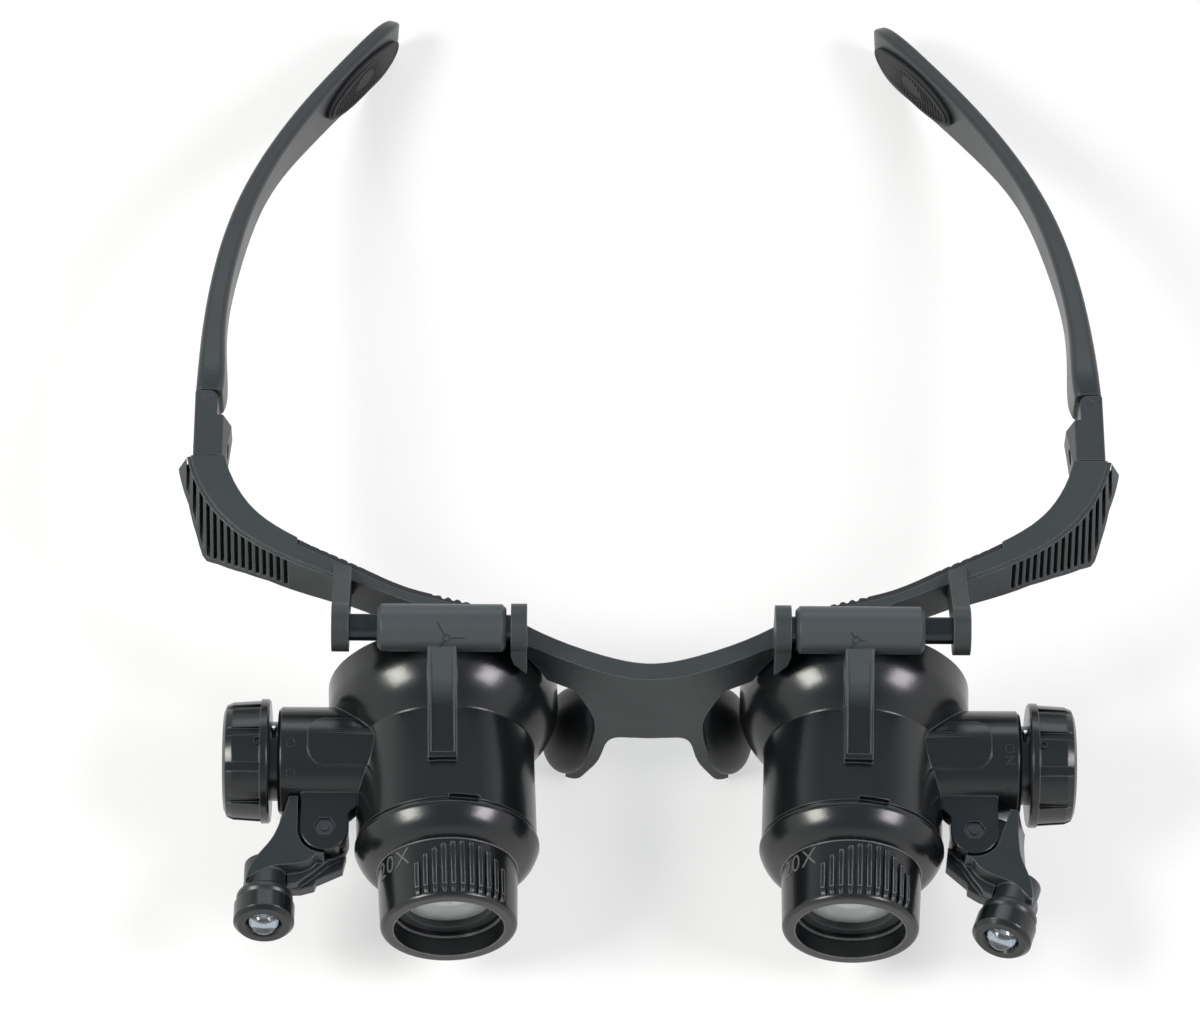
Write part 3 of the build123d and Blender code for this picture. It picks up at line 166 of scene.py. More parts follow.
table_half, table_rise, bend_radius, bend_steps = 1.6, 0.9, 0.5, 12
profile = [(-table_half, 0.0)]
for step in range(bend_steps + 1):
    bend = step / bend_steps * pi / 2
    profile.append((table_half + sin(bend) * bend_radius, bend_radius - cos(bend) * bend_radius))
profile.append((profile[-1][0], table_rise))
table_sheet = bmesh.new()
edges = [[table_sheet.verts.new((x, y, z)) for x in (-table_half, table_half)] for y, z in profile]
for low, high in zip(edges, edges[1:]):
    table_sheet.faces.new((low[0], low[1], high[1], high[0]))
table_mesh = bpy.data.meshes.new("table")
table_sheet.to_mesh(table_mesh)
table_sheet.free()
table = bpy.data.objects.new("table", table_mesh)
bpy.context.scene.collection.objects.link(table)
paper, paper_tree = new_material("white_table")
paper_lit = added(paper_tree, "ShaderNodeBsdfDiffuse", Color=grey)
paper_shade = added(paper_tree, "ShaderNodeBsdfDiffuse", Color=dark_grey)
paper_glow = added(paper_tree, "ShaderNodeEmission", Color=white, Strength=0.60)
paper_seen = added(paper_tree, "ShaderNodeAddShader", paper_shade, paper_glow)
paper_mix = added(paper_tree, "ShaderNodeMixShader", seen_directly(paper_tree), paper_lit, paper_seen)
added(paper_tree, "ShaderNodeOutputMaterial", Surface=paper_mix)
table_mesh.materials.append(paper)


# The front frame: one moulding of textured black plastic with the ribbed wings, the ears for the hinge rods,
# the bridge and the nose arms. It is greyer than the eyepieces, and its edges are made lighter by wear together
# with a painted highlight.
def shade(colour, share=1.0):
    """A colour made darker or lighter."""
    return (*[min(1, part * share) for part in colour], 1)


def spread(tree, value, low, high, start=0.0, end=1.0):
    """What runs from start to end, spread from low to high."""
    return added(tree, "ShaderNodeMapRange", Value=value, From_Min=start, From_Max=end, To_Min=low,
                 To_Max=high)


def mixed(tree, share, first, second, kind="RGBA"):
    """Two colours, or two values, mixed by a share."""
    return added(tree, "ShaderNodeMix", data_type=kind, Factor=share, A=first, B=second).outputs["Result"]


def moulding(name, colour, wear_and_highlight, roughness, gloss_level, grain, grain_depth, edge, edge_share, dull_and_sheen=None):
    """Moulded plastic: a fine tool texture, uneven gloss, and edges made lighter by handling wear together with a
    painted highlight. For a top that is rubbed dull and painted lighter as a painted sheen, four values say where
    that starts, where it is full, how rough it is and the colour of the painted sheen."""
    tone_low, tone_high, gloss_low, gloss_high, cloud_low, cloud_high = 0.88, 1.12, 0.9, 1.12, 0.3, 0.7
    edge_start, edge_full = 0.965, 0.78
    material, tree = new_material(name)
    where = added(tree, "ShaderNodeTexCoord").outputs["Object"]
    cloud = added(tree, "ShaderNodeTexNoise", Vector=where, Scale=70, Detail=4)
    fine = added(tree, "ShaderNodeTexNoise", Vector=where, Scale=grain, Detail=3)
    soft_edge = added(tree, "ShaderNodeBevel", samples=4, Radius=edge)
    relief = added(tree, "ShaderNodeBump", Strength=1, Distance=grain_depth, Height=fine, Normal=soft_edge)
    flat_way = added(tree, "ShaderNodeNewGeometry").outputs["True Normal"]
    facing = added(tree, "ShaderNodeVectorMath", soft_edge, flat_way, operation="DOT_PRODUCT")
    # Edges are mixed toward a lighter colour: partly handling wear, partly a painted highlight along the edges.
    edge_wear_and_highlight = spread(tree, facing.outputs["Value"], 0, edge_share, start=edge_start, end=edge_full)
    tone = mixed(tree, cloud, shade(colour, tone_low), shade(colour, tone_high))
    tone = mixed(tree, edge_wear_and_highlight, tone, shade(wear_and_highlight))
    gloss = spread(tree, cloud, roughness * gloss_low, roughness * gloss_high, start=cloud_low,
                   end=cloud_high)
    # Above a given height the top is rougher, rubbed dull, and painted lighter: a painted sheen from above.
    if dull_and_sheen:
        dull_sheen_start, dull_sheen_full, dull_roughness, painted_sheen_colour = dull_and_sheen
        height = added(tree, "ShaderNodeSeparateXYZ", where).outputs["Z"]
        dull_and_sheen_share = spread(tree, height, 0, 1, start=dull_sheen_start, end=dull_sheen_full)
        gloss = mixed(tree, dull_and_sheen_share, gloss, dull_roughness, kind="FLOAT")
        tone = mixed(tree, dull_and_sheen_share, tone, shade(painted_sheen_colour))
    surface = added(tree, "ShaderNodeBsdfPrincipled", Base_Color=tone, Roughness=gloss, Normal=relief,
                    Specular_IOR_Level=gloss_level)
    added(tree, "ShaderNodeOutputMaterial", Surface=surface)
    return material


def cover(material, *nodes):
    """Give CAD pieces their finish."""
    for node in nodes:
        data = frame["nodes"][node].data
        if not data.materials:
            data.materials.append(material)
        for index in range(len(data.materials)):
            data.materials[index] = material


frame_plastic = moulding("frame_plastic", colour=(0.025, 0.030, 0.032), wear_and_highlight=(0.17, 0.185, 0.185),
                         roughness=0.44, gloss_level=0.48, grain=2600, grain_depth=0.00007, edge=0.00034,
                         edge_share=0.7)
cover(frame_plastic, "front_frame")


# The brow pads: a thin strip of scalloped black rubber pressed into the rear edge of the bar on each side.
# Each one is moulded in one piece, soft and dull, and keeps its place by the shape of its recess.
def rubber(name, colour, roughness, pores):
    """Soft black rubber: dull, with a faint bloom on it and fine pores."""
    tone_low, tone_high, gloss_low, gloss_high, pore_depth = 0.8, 1.3, 0.85, 1.15, 0.00002
    material, tree = new_material(name)
    where = added(tree, "ShaderNodeTexCoord").outputs["Object"]
    bloom = added(tree, "ShaderNodeTexNoise", Vector=where, Scale=120, Detail=5)
    pore = added(tree, "ShaderNodeTexVoronoi", Vector=where, Scale=pores)
    relief = added(tree, "ShaderNodeBump", Strength=0.6, Distance=pore_depth, Height=pore)
    tone = mixed(tree, bloom, shade(colour, tone_low), shade(colour, tone_high))
    gloss = spread(tree, bloom, roughness * gloss_low, roughness * gloss_high)
    surface = added(tree, "ShaderNodeBsdfPrincipled", Base_Color=tone, Roughness=gloss, Normal=relief,
                    Specular_IOR_Level=0.4)
    added(tree, "ShaderNodeOutputMaterial", Surface=surface)
    return material


same_place, ease_factor = 0.000001, 0.6


def merged_copy(node, name):
    """A copy of a CAD piece's mesh, with the corners that share a place made one."""
    mesh = frame["nodes"][node].data.copy()
    mesh.name = name
    shell = bmesh.new()
    shell.from_mesh(mesh)
    bmesh.ops.remove_doubles(shell, verts=shell.verts, dist=same_place)
    shell.to_mesh(mesh)
    shell.free()
    return mesh


def evaluated(holder):
    """What an object's modifiers or letters make, as a plain mesh."""
    return bpy.data.meshes.new_from_object(holder.evaluated_get(bpy.context.evaluated_depsgraph_get()))


def softened(node, name, material, voxel, smoothing, stretch=None, held=None):
    """A soft moulded piece in the space of its CAD solid, with its corners rounded off. It can be drawn out
    from one point."""
    piece = bpy.data.objects.new(name, merged_copy(node, name))
    bpy.context.scene.collection.objects.link(piece)
    grid = piece.modifiers.new("grid", "REMESH")
    grid.mode = "VOXEL"
    grid.voxel_size = voxel
    ease = piece.modifiers.new("ease", "SMOOTH")
    ease.factor = ease_factor
    ease.iterations = smoothing
    made = evaluated(piece)
    piece.modifiers.clear()
    piece.data = made
    if stretch:
        made.transform(Matrix.Translation(held) @ Matrix.Diagonal((*stretch, 1)) @ Matrix.Translation(-held))
    made.materials.clear()
    made.materials.append(material)
    for face in made.polygons:
        face.use_smooth = True
    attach(piece, next(body for body, nodes in frame["record"]["behaviour"]["bodies"].items()
                        if node in nodes))
    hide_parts(node)
    return piece


pad_rubber = rubber("pad_rubber", colour=(0.016, 0.0165, 0.018), roughness=0.62, pores=5200)
for side in ("left", "right"):
    softened(side + "_brow_pad", side + "_brow_strip", pad_rubber, voxel=0.00018, smoothing=3)


# The nose pads: one fat soft pad on the end of each nose arm, moulded from smoother black rubber.
# Each pad is pushed over the arm, so the arm shows as a thin band along its inner side.
nose_rubber = rubber("nose_rubber", colour=(0.017, 0.018, 0.020), roughness=0.40, pores=7000)
for side in ("left", "right"):
    lowest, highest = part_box(side + "_nose_pad")
    held = Vector((lowest[0] if side == "left" else highest[0], (lowest[1] + highest[1]) / 2, highest[2]))
    softened(side + "_nose_pad", side + "_nose_cushion", nose_rubber, voxel=0.00028, smoothing=8,
             stretch=(1.12, 1.04, 1.05), held=held)


# The hinge blocks: an end piece on each corner of the frame, held by a small countersunk screw on the inside.
# The fold pin of the temple is pressed through its two ears.
block_plastic = moulding("block_plastic", colour=(0.022, 0.026, 0.028), wear_and_highlight=(0.16, 0.175, 0.175),
                         roughness=0.40, gloss_level=0.48, grain=2400, grain_depth=0.00004, edge=0.00034,
                         edge_share=0.7)
cover(block_plastic, "left_hinge_block", "right_hinge_block")


def small_metal(name, colour, roughness, brushed):
    """Machined metal: fine turning lines and a little uneven tarnish."""
    tone_low, tone_high, gloss_low, gloss_high, line_depth = 0.75, 1.15, 0.8, 1.3, 0.00001
    material, tree = new_material(name)
    where = added(tree, "ShaderNodeTexCoord").outputs["Object"]
    tarnish = added(tree, "ShaderNodeTexNoise", Vector=where, Scale=400, Detail=4)
    turning = added(tree, "ShaderNodeTexWave", Vector=where, Scale=brushed, Distortion=2).outputs["Fac"]
    relief = added(tree, "ShaderNodeBump", Strength=0.3, Distance=line_depth, Height=turning)
    tone = mixed(tree, tarnish, shade(colour, tone_low), shade(colour, tone_high))
    gloss = spread(tree, tarnish, roughness * gloss_low, roughness * gloss_high)
    surface = added(tree, "ShaderNodeBsdfPrincipled", Base_Color=tone, Roughness=gloss, Normal=relief,
                    Metallic=1)
    added(tree, "ShaderNodeOutputMaterial", Surface=surface)
    return material


dark_steel = small_metal("dark_steel", colour=(0.075, 0.078, 0.082), roughness=0.42, brushed=900)
cover(dark_steel, "left_block_screw", "right_block_screw", "left_temple_pin", "right_temple_pin")


# The temples: long arms of the same textured plastic that bow inward and drop to a flat paddle at the ear.
# They are moulded in one piece with the tongue that turns on the fold pin.
temple_plastic = moulding("temple_plastic", colour=(0.021, 0.025, 0.027), wear_and_highlight=(0.13, 0.145, 0.145),
                          roughness=0.36, gloss_level=0.48, grain=2200, grain_depth=0.00004, edge=0.00040,
                          edge_share=0.7)
cover(temple_plastic, "left_temple", "right_temple")


# The tip pads: an oval rubber inlay on the inner face of each paddle, with a rim, a row of fine ribs for grip
# and a plain oval field in the middle. It is moulded in one piece and pressed into the paddle.
def new_tree(name, inputs):
    """A Geometry Nodes tree with a named input for each size, and one for the material."""
    tree = bpy.data.node_groups.new(name, "GeometryNodeTree")
    for label, value in inputs.items():
        kind = "NodeSocketInt" if isinstance(value, int) else "NodeSocketFloat"
        tree.interface.new_socket(label, in_out="INPUT", socket_type=kind).default_value = value
    tree.interface.new_socket("Material", in_out="INPUT", socket_type="NodeSocketMaterial")
    tree.interface.new_socket("Geometry", in_out="OUTPUT", socket_type="NodeSocketGeometry")
    return tree, tree.nodes.new("NodeGroupInput").outputs


def times(tree, first, second):
    return worked_out(tree, "MULTIPLY", first, second)


def vector_of(tree, x=0.0, y=0.0, z=0.0):
    return added(tree, "ShaderNodeCombineXYZ", x, y, z)


def own_place(tree):
    """The place of each point, as its X, Y and Z."""
    return added(tree, "ShaderNodeSeparateXYZ", added(tree, "GeometryNodeInputPosition")).outputs


def joined(tree, parts):
    together = added(tree, "GeometryNodeJoinGeometry")
    for part in parts:
        plug(tree, together.inputs[0], part)
    return together


def closed_tree(tree, sizes, geometry):
    """Make the instances real, give them the material, and pass them out."""
    real = added(tree, "GeometryNodeRealizeInstances", Geometry=geometry)
    painted = added(tree, "GeometryNodeSetMaterial", Geometry=real, Material=sizes["Material"])
    added(tree, "NodeGroupOutput", Geometry=painted)


def grown(tree, name, sizes, material):
    """Run a tree with these sizes, and keep what it makes as a plain mesh."""
    holder = bpy.data.objects.new(name, bpy.data.meshes.new(name))
    bpy.context.scene.collection.objects.link(holder)
    run = holder.modifiers.new("tree", "NODES")
    run.node_group = tree
    for item in tree.interface.items_tree:
        if item.in_out == "INPUT":
            own_value = sizes.get(item.name, item.default_value)
            run[item.identifier] = material if item.name == "Material" else own_value
    mesh = evaluated(holder)
    mesh.name = name
    bpy.data.objects.remove(holder)
    return mesh


def oval_ring(tree, length, height, thickness):
    """A round bead that follows an oval."""
    circle = added(tree, "GeometryNodeCurvePrimitiveCircle", Resolution=72, Radius=0.5)
    oval = added(tree, "GeometryNodeTransform", Geometry=circle, Scale=vector_of(tree, length, height, 1.0))
    bead = added(tree, "GeometryNodeCurvePrimitiveCircle", Resolution=10, Radius=times(tree, thickness, 0.5))
    return added(tree, "GeometryNodeCurveToMesh", Curve=oval, Profile_Curve=bead)


def half_chord(tree, along, length, height):
    """Half the height of an oval at a place along it, and nothing beyond its end."""
    share = worked_out(tree, "DIVIDE", along, times(tree, length, 0.5))
    left_over = worked_out(tree, "SUBTRACT", 1.0, times(tree, share, share))
    root = worked_out(tree, "SQRT", worked_out(tree, "MAXIMUM", left_over, 0.0))
    return times(tree, root, times(tree, height, 0.5))


ribbed_share, cylinder_sides = 0.47, 10
pad_tree, pad_sizes = new_tree("ribbed_oval", {"Length": 0.024, "Height": 0.0066, "Rim": 0.0007, "Ribs": 25,
                                               "Rib Width": 0.0005, "Rib Height": 0.0003,
                                               "Field Length": 0.007, "Field Height": 0.004})
half_length = times(pad_tree, pad_sizes["Length"], ribbed_share)
rib_line = added(pad_tree, "GeometryNodeMeshLine", mode="END_POINTS", Count=pad_sizes["Ribs"],
                 Start_Location=vector_of(pad_tree, half_length),
                 Offset=vector_of(pad_tree, times(pad_tree, half_length, -1.0)))
along = own_place(pad_tree)["X"]
outer_half = half_chord(pad_tree, along, pad_sizes["Length"], pad_sizes["Height"])
inner_half = half_chord(pad_tree, along, pad_sizes["Field Length"], pad_sizes["Field Height"])
rib_length = worked_out(pad_tree, "SUBTRACT", outer_half, inner_half)
rib_middle = times(pad_tree, worked_out(pad_tree, "ADD", outer_half, inner_half), 0.5)
rib_size = vector_of(pad_tree, times(pad_tree, pad_sizes["Rib Width"], 0.5), rib_length,
                     pad_sizes["Rib Height"])
rib_standing = added(pad_tree, "GeometryNodeMeshCylinder", Vertices=cylinder_sides, Radius=1.0, Depth=1.0)
rib_lying = added(pad_tree, "GeometryNodeTransform", Geometry=rib_standing, Rotation=(pi / 2, 0, 0))
pad_parts = []
for direction in (1.0, -1.0):
    rib_shift = vector_of(pad_tree, 0.0, times(pad_tree, rib_middle, direction))
    rib_points = added(pad_tree, "GeometryNodeSetPosition", Geometry=rib_line, Offset=rib_shift)
    ribs = added(pad_tree, "GeometryNodeInstanceOnPoints", Points=rib_points, Instance=rib_lying)
    pad_parts.append(added(pad_tree, "GeometryNodeScaleInstances", Instances=ribs, Scale=rib_size,
                           Local_Space=True))
pad_parts.append(oval_ring(pad_tree, pad_sizes["Length"], pad_sizes["Height"], pad_sizes["Rim"]))
pad_parts.append(oval_ring(pad_tree, pad_sizes["Field Length"], pad_sizes["Field Height"],
                           pad_sizes["Rib Height"]))
closed_tree(pad_tree, pad_sizes, joined(pad_tree, pad_parts))

rim_inset, roughly_facing, in_one_plane = 0.0010, 0.3, 0.97


def flat_face(node, towards):
    """The flat face of a CAD piece that looks that way: its middle, long way, short way, normal and sizes."""
    mesh = frame["nodes"][node].data
    faces = [face for face in mesh.polygons if face.normal.dot(towards) > roughly_facing]
    normal = sum((face.normal * face.area for face in faces), Vector()).normalized()
    faces = [face for face in faces if face.normal.dot(normal) > in_one_plane]
    area = sum(face.area for face in faces)
    middle = sum((face.center * face.area for face in faces), Vector()) / area
    corners = [mesh.vertices[index].co - middle for face in faces for index in face.vertices]
    longest = max(corners, key=lambda corner: corner.length)
    along = (longest - normal * longest.dot(normal)).normalized()
    across = normal.cross(along)
    half_height = max(corner.dot(across) for corner in corners)
    return middle, along, across, normal, 2 * longest.length, 2 * half_height


for side, inward in (("left", Vector((1, 0, 0))), ("right", Vector((-1, 0, 0)))):
    middle, along, across, normal, length, height = flat_face(side + "_tip_pad", inward)
    oval_size = {"Length": length - rim_inset * 2, "Height": height - rim_inset * 2}
    relief = grown(pad_tree, side + "_tip_relief", oval_size, pad_rubber)
    relief.transform(Matrix.Translation(middle) @ Matrix((along, across, normal)).transposed().to_4x4())
    inlay = softened(side + "_tip_pad", side + "_tip_inlay", pad_rubber, voxel=0.00016, smoothing=2)
    whole = bmesh.new()
    whole.from_mesh(inlay.data)
    whole.from_mesh(relief)
    whole.to_mesh(inlay.data)
    whole.free()
    for face in inlay.data.polygons:
        face.use_smooth = True


# The hinge rods: a blackened steel rod between the ears on each side, with a flat that keys it to its sleeve.
# The eyepiece slides along it and flips up with it.
black_rod = small_metal("black_rod", colour=(0.045, 0.048, 0.052), roughness=0.26, brushed=700)
cover(black_rod, "left_hinge_rod", "right_hinge_rod")


# The eyepiece housings: eyecup, body, web, sleeve, battery tube and lamp lug in one glossy black moulding.
# Its bell is drawn in to a waist over the tube. The sleeve's top is rubbed dull and painted lighter as a painted
# sheen;
# it carries a star-shaped gate mark, and the switch marks stand up from the tube.
def fixed(name, mesh, body):
    """A finished piece that rides on a body of the glasses."""
    piece = bpy.data.objects.new(name, mesh)
    bpy.context.scene.collection.objects.link(piece)
    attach(piece, body)
    return piece


# Above these heights the sleeve's top is rubbed dull and painted lighter in this colour: a painted sheen.
sleeve_low, sleeve_high, sleeve_roughness, sleeve_sheen_colour = 0.0380, 0.0396, 0.42, (0.044, 0.052, 0.056)
body_plastic = moulding("body_plastic", colour=(0.0045, 0.0058, 0.0068), wear_and_highlight=(0.13, 0.145, 0.15),
                        roughness=0.22, gloss_level=0.52, grain=1800, grain_depth=0.000012, edge=0.00032,
                        edge_share=0.7, dull_and_sheen=(sleeve_low, sleeve_high, sleeve_roughness, sleeve_sheen_colour))
body_radius, straight_reach = 0.0151, 0.0145
bell_foot, bell_shoulder, bell_reach, bell_fullness, rim_radius = 0.0182, 0.0264, 0.0276, 1.9, 0.0194
tube_radius, web_half = 0.0092, 0.0032
wall_slack, ring_slack, skin_slack, tube_slack = 0.00002, 0.00001, 0.00008, 0.00003
place_digits, full_ring, on_the_bell = 5, 30, 0.8


def bell_radius(place):
    """The bell's radius and slope at a place behind the barrel's seat: a round flare that starts in a
    crease."""
    run, rise = bell_shoulder - bell_foot, rim_radius - body_radius
    left = min(1, max(0, (bell_shoulder - place) / run))
    slope = bell_fullness * left ** (bell_fullness - 1) * rise / run
    return rim_radius - rise * left ** bell_fullness, 0 if left == 1 else slope


def measured_rings(mesh, seat, eye_way):
    """The outer radius of the CAD housing, at each place along it that has a full ring of corners."""
    rings = {}
    for vert in mesh.vertices:
        place = (vert.co - seat).dot(eye_way)
        radius = (vert.co - seat - eye_way * place).length
        if straight_reach < place < bell_reach and radius > body_radius - wall_slack:
            rings.setdefault(round(place, place_digits), []).append(radius)
    known = [(straight_reach, body_radius)]
    for place, radii in sorted(rings.items()):
        outer = [radius for radius in radii if radius > known[-1][1] - ring_slack]
        if len(outer) > full_ring:
            known.append((place, min(outer)))
    return known


def drawn_in(side):
    """The housing in the space of its CAD solid, with a waist where the bell meets the battery tube. A corner
    on the bell's skin moves straight inward, and one on the seam with the tube or web moves along that."""
    source = frame["nodes"][side + "_eyepiece_housing"].data
    mesh = merged_copy(side + "_eyepiece_housing", side + "_eyepiece_body")
    seat, barrel_way = joint(side + "_lens_twist")
    tube_middle = joint(side + "_cap_turn")[0]
    web_middle = joint(side + "_eyepiece_flip")[0].x
    eye_way = -barrel_way
    known = measured_rings(mesh, seat, eye_way)
    bell_normals = {}
    for vert in mesh.vertices:
        place = (vert.co - seat).dot(eye_way)
        spoke = vert.co - seat - eye_way * place
        span = next((pair for pair in zip(known, known[1:]) if pair[0][0] <= place <= pair[1][0]), None)
        if not span:
            continue
        (place_a, radius_a), (place_b, radius_b) = span
        old_radius = radius_a + (radius_b - radius_a) * (place - place_a) / (place_b - place_a)
        if abs(spoke.length - old_radius) > skin_slack:
            continue
        new_radius, new_slope = bell_radius(place)
        off_tube = Vector((0, vert.co.y - tube_middle.y, vert.co.z - tube_middle.z)).length - tube_radius
        way = -spoke.normalized()
        if abs(off_tube) < tube_slack:
            way = Vector((-1 if spoke.x > 0 else 1, 0, 0))
        elif abs(vert.co.x - web_middle) < web_half and spoke.z > 0:
            way = Vector((0, 0, -1))
        reach = spoke.dot(way)
        vert.co += way * (-reach - sqrt(max(0, reach ** 2 - spoke.length_squared + new_radius ** 2)))
        bell_normals[vert.index] = (spoke.normalized() - eye_way * new_slope).normalized()
    mesh.update()
    corner_normals = [corner.vector.copy() for corner in source.corner_normals]
    for face in mesh.polygons:
        for index in face.loop_indices:
            bell_normal = bell_normals.get(mesh.loops[index].vertex_index)
            if bell_normal and face.normal.dot(bell_normal) > on_the_bell:
                corner_normals[index] = bell_normal
    mesh.normals_split_custom_set(corner_normals)
    mesh.materials.clear()
    mesh.materials.append(body_plastic)
    piece = fixed(side + "_eyepiece_body", mesh, side + "_eyepiece")
    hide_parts(side + "_eyepiece_housing")


for side in ("left", "right"):
    drawn_in(side)


def wrapped(mesh, centre, upward, reading, radius, along, angle):
    """Bend a flat mesh, drawn in its own XY plane, round a turned surface whose radius is a function of the
    place along its axis."""
    outward = reading.cross(upward)
    for vert in mesh.vertices:
        place = along + vert.co.y
        turn = angle + vert.co.x / radius(along)
        spoke = outward * cos(turn) + reading * sin(turn)
        vert.co = centre + upward * place + spoke * (radius(place) + vert.co.z)
    mesh.update()


capital_share, letter_gap, letter_thinning, curve_steps = 0.70, 1.12, 0.012, 6


def lettering(name, words, height, relief, material):
    """Raised letters as a flat mesh, centred on its own origin."""
    text = bpy.data.curves.new(name, "FONT")
    text.body = words
    text.size = height / capital_share
    text.space_character = letter_gap
    text.offset = -height * letter_thinning
    text.extrude = relief
    text.align_x = text.align_y = "CENTER"
    text.resolution_u = curve_steps
    holder = bpy.data.objects.new(name, text)
    bpy.context.scene.collection.objects.link(holder)
    mesh = evaluated(holder)
    bpy.data.objects.remove(holder)
    mesh.name = name
    mesh.materials.clear()
    mesh.materials.append(material)
    return mesh


raised_mark = moulding("raised_mark", colour=(0.012, 0.014, 0.015), wear_and_highlight=(0.16, 0.17, 0.175), roughness=0.32,
                       gloss_level=0.42, grain=1800, grain_depth=0.00001, edge=0.00008, edge_share=0.6)
star_inset, bar_steps = 0.0003, 8
star_tree, star_sizes = new_tree("gate_star", {"Arms": 3, "Length": 0.0019, "Width": 0.00018,
                                               "Height": 0.00016, "Eye": 0.0012})
arm_middle = worked_out(star_tree, "ADD", times(star_tree, star_sizes["Length"], 0.5), star_inset)
star_points = added(star_tree, "GeometryNodeMeshCircle", Vertices=star_sizes["Arms"], Radius=arm_middle)
step_angle = worked_out(star_tree, "DIVIDE", 2 * pi, star_sizes["Arms"])
arm_turn = times(star_tree, added(star_tree, "GeometryNodeInputIndex"), step_angle)
bar_size = vector_of(star_tree, star_sizes["Length"], star_sizes["Width"], star_sizes["Height"])
bar = added(star_tree, "GeometryNodeMeshCube", Size=bar_size, Vertices_X=bar_steps)
arms = added(star_tree, "GeometryNodeInstanceOnPoints", Points=star_points, Instance=bar,
             Rotation=vector_of(star_tree, 0.0, 0.0, arm_turn))
eye = oval_ring(star_tree, star_sizes["Eye"], star_sizes["Eye"], star_sizes["Width"])
closed_tree(star_tree, star_sizes, joined(star_tree, (arms, eye)))

forward, upward_z, rightward = Vector((0, -1, 0)), Vector((0, 0, 1)), Vector((1, 0, 0))
sleeve_radius, gate_place, gate_angle, gate_turn = 0.0040, 0.0008, radians(57), radians(-30)
gate_length = {"left": 0.0028, "right": 0.0014}
mark_height, mark_relief, mark_set_in = 0.0016, 0.00012, 0.0022
mark_angles = {"left": {"ON": radians(49), "O": radians(11)}, "right": {"ON": radians(19), "O": radians(52)}}
for side, hand in (("left", -1), ("right", 1)):
    rod_place = joint(side + "_eyepiece_flip")[0]
    gate = grown(star_tree, side + "_gate_mark", {"Length": gate_length[side]}, raised_mark)
    gate.transform(Matrix.Rotation(gate_turn, 4, "Z"))
    wrapped(gate, rod_place, rightward, forward, lambda place: sleeve_radius, -hand * gate_place, gate_angle)
    fixed(side + "_gate_mark", gate, side + "_eyepiece")
    tube_end = joint(side + "_cap_turn")[0]
    for words, angle in mark_angles[side].items():
        name = side + "_tube_mark_" + words
        sign = lettering(name, words, mark_height, mark_relief, raised_mark)
        wrapped(sign, tube_end, rightward, forward, lambda place: tube_radius, -hand * mark_set_in, angle)
        fixed(name, sign, side + "_eyepiece")


# The lens barrels: a black moulding with a domed shoulder, a fan of grip ribs and a lens held by a screwed
# ring. Each one locks into its eyepiece with a bayonet, and its power stands on it in grey raised figures.
# The barrel's light edge colour is partly wear and partly a painted highlight along its edges.
barrel_plastic = moulding("barrel_plastic", colour=(0.0045, 0.0058, 0.0068), wear_and_highlight=(0.36, 0.38, 0.385),
                          roughness=0.23, gloss_level=0.52, grain=1800, grain_depth=0.000012, edge=0.00036,
                          edge_share=0.9)
figure_paint = moulding("figure_paint", colour=(0.115, 0.12, 0.12), wear_and_highlight=(0.20, 0.205, 0.21), roughness=0.5,
                        gloss_level=0.4, grain=2200, grain_depth=0.00002, edge=0.00010, edge_share=0.5)


def squared(tree, value, power):
    """Push a share of the ball's radius outward, so that the ball gets the sides of a rounded bar."""
    pushed = worked_out(tree, "POWER", worked_out(tree, "ABSOLUTE", value), power)
    return times(tree, pushed, worked_out(tree, "SIGN", value))


ball_steps, side_power, end_power = 20, 0.5, 0.3
grip_tree, grip_sizes = new_tree("grip_fan", {"Ribs": 11, "Pitch": 0.00148, "Length": 0.0098, "Arch": 0.0034,
                                              "Width": 0.00090, "Height": 0.00066})
last_rib = worked_out(grip_tree, "SUBTRACT", grip_sizes["Ribs"], 1.0)
half_fan = times(grip_tree, times(grip_tree, last_rib, grip_sizes["Pitch"]), 0.5)
grip_line = added(grip_tree, "GeometryNodeMeshLine", mode="OFFSET", Count=grip_sizes["Ribs"],
                  Offset=vector_of(grip_tree, grip_sizes["Pitch"]),
                  Start_Location=vector_of(grip_tree, times(grip_tree, half_fan, -1.0)))
across_share = worked_out(grip_tree, "DIVIDE", own_place(grip_tree)["X"], half_fan)
fall = times(grip_tree, times(grip_tree, across_share, across_share), grip_sizes["Arch"])
half_run = times(grip_tree, worked_out(grip_tree, "SUBTRACT", grip_sizes["Length"], fall), 0.5)
rib_middles = added(grip_tree, "GeometryNodeSetPosition", Geometry=grip_line,
                    Offset=vector_of(grip_tree, 0.0, half_run))
ball = added(grip_tree, "GeometryNodeMeshUVSphere", Segments=ball_steps, Rings=ball_steps, Radius=1.0)
on_ball = own_place(grip_tree)
bar_place = vector_of(grip_tree, squared(grip_tree, on_ball["X"], side_power),
                      squared(grip_tree, on_ball["Y"], end_power),
                      squared(grip_tree, on_ball["Z"], side_power))
rounded_bar = added(grip_tree, "GeometryNodeSetPosition", Geometry=ball, Position=bar_place)
bars = added(grip_tree, "GeometryNodeInstanceOnPoints", Points=rib_middles, Instance=rounded_bar)
grip_size = vector_of(grip_tree, times(grip_tree, grip_sizes["Width"], 0.5), half_run, grip_sizes["Height"])
closed_tree(grip_tree, grip_sizes, added(grip_tree, "GeometryNodeScaleInstances", Instances=bars,
                                         Scale=grip_size))

barrel_length, barrel_front_radius, barrel_root_radius = 0.0159, 0.0114, 0.0117
grip_end, grip_turn = 0.0153, radians(12)
figure_height, figure_relief, figure_place, figure_angle = 0.0031, 0.00016, 0.0074, radians(-52)


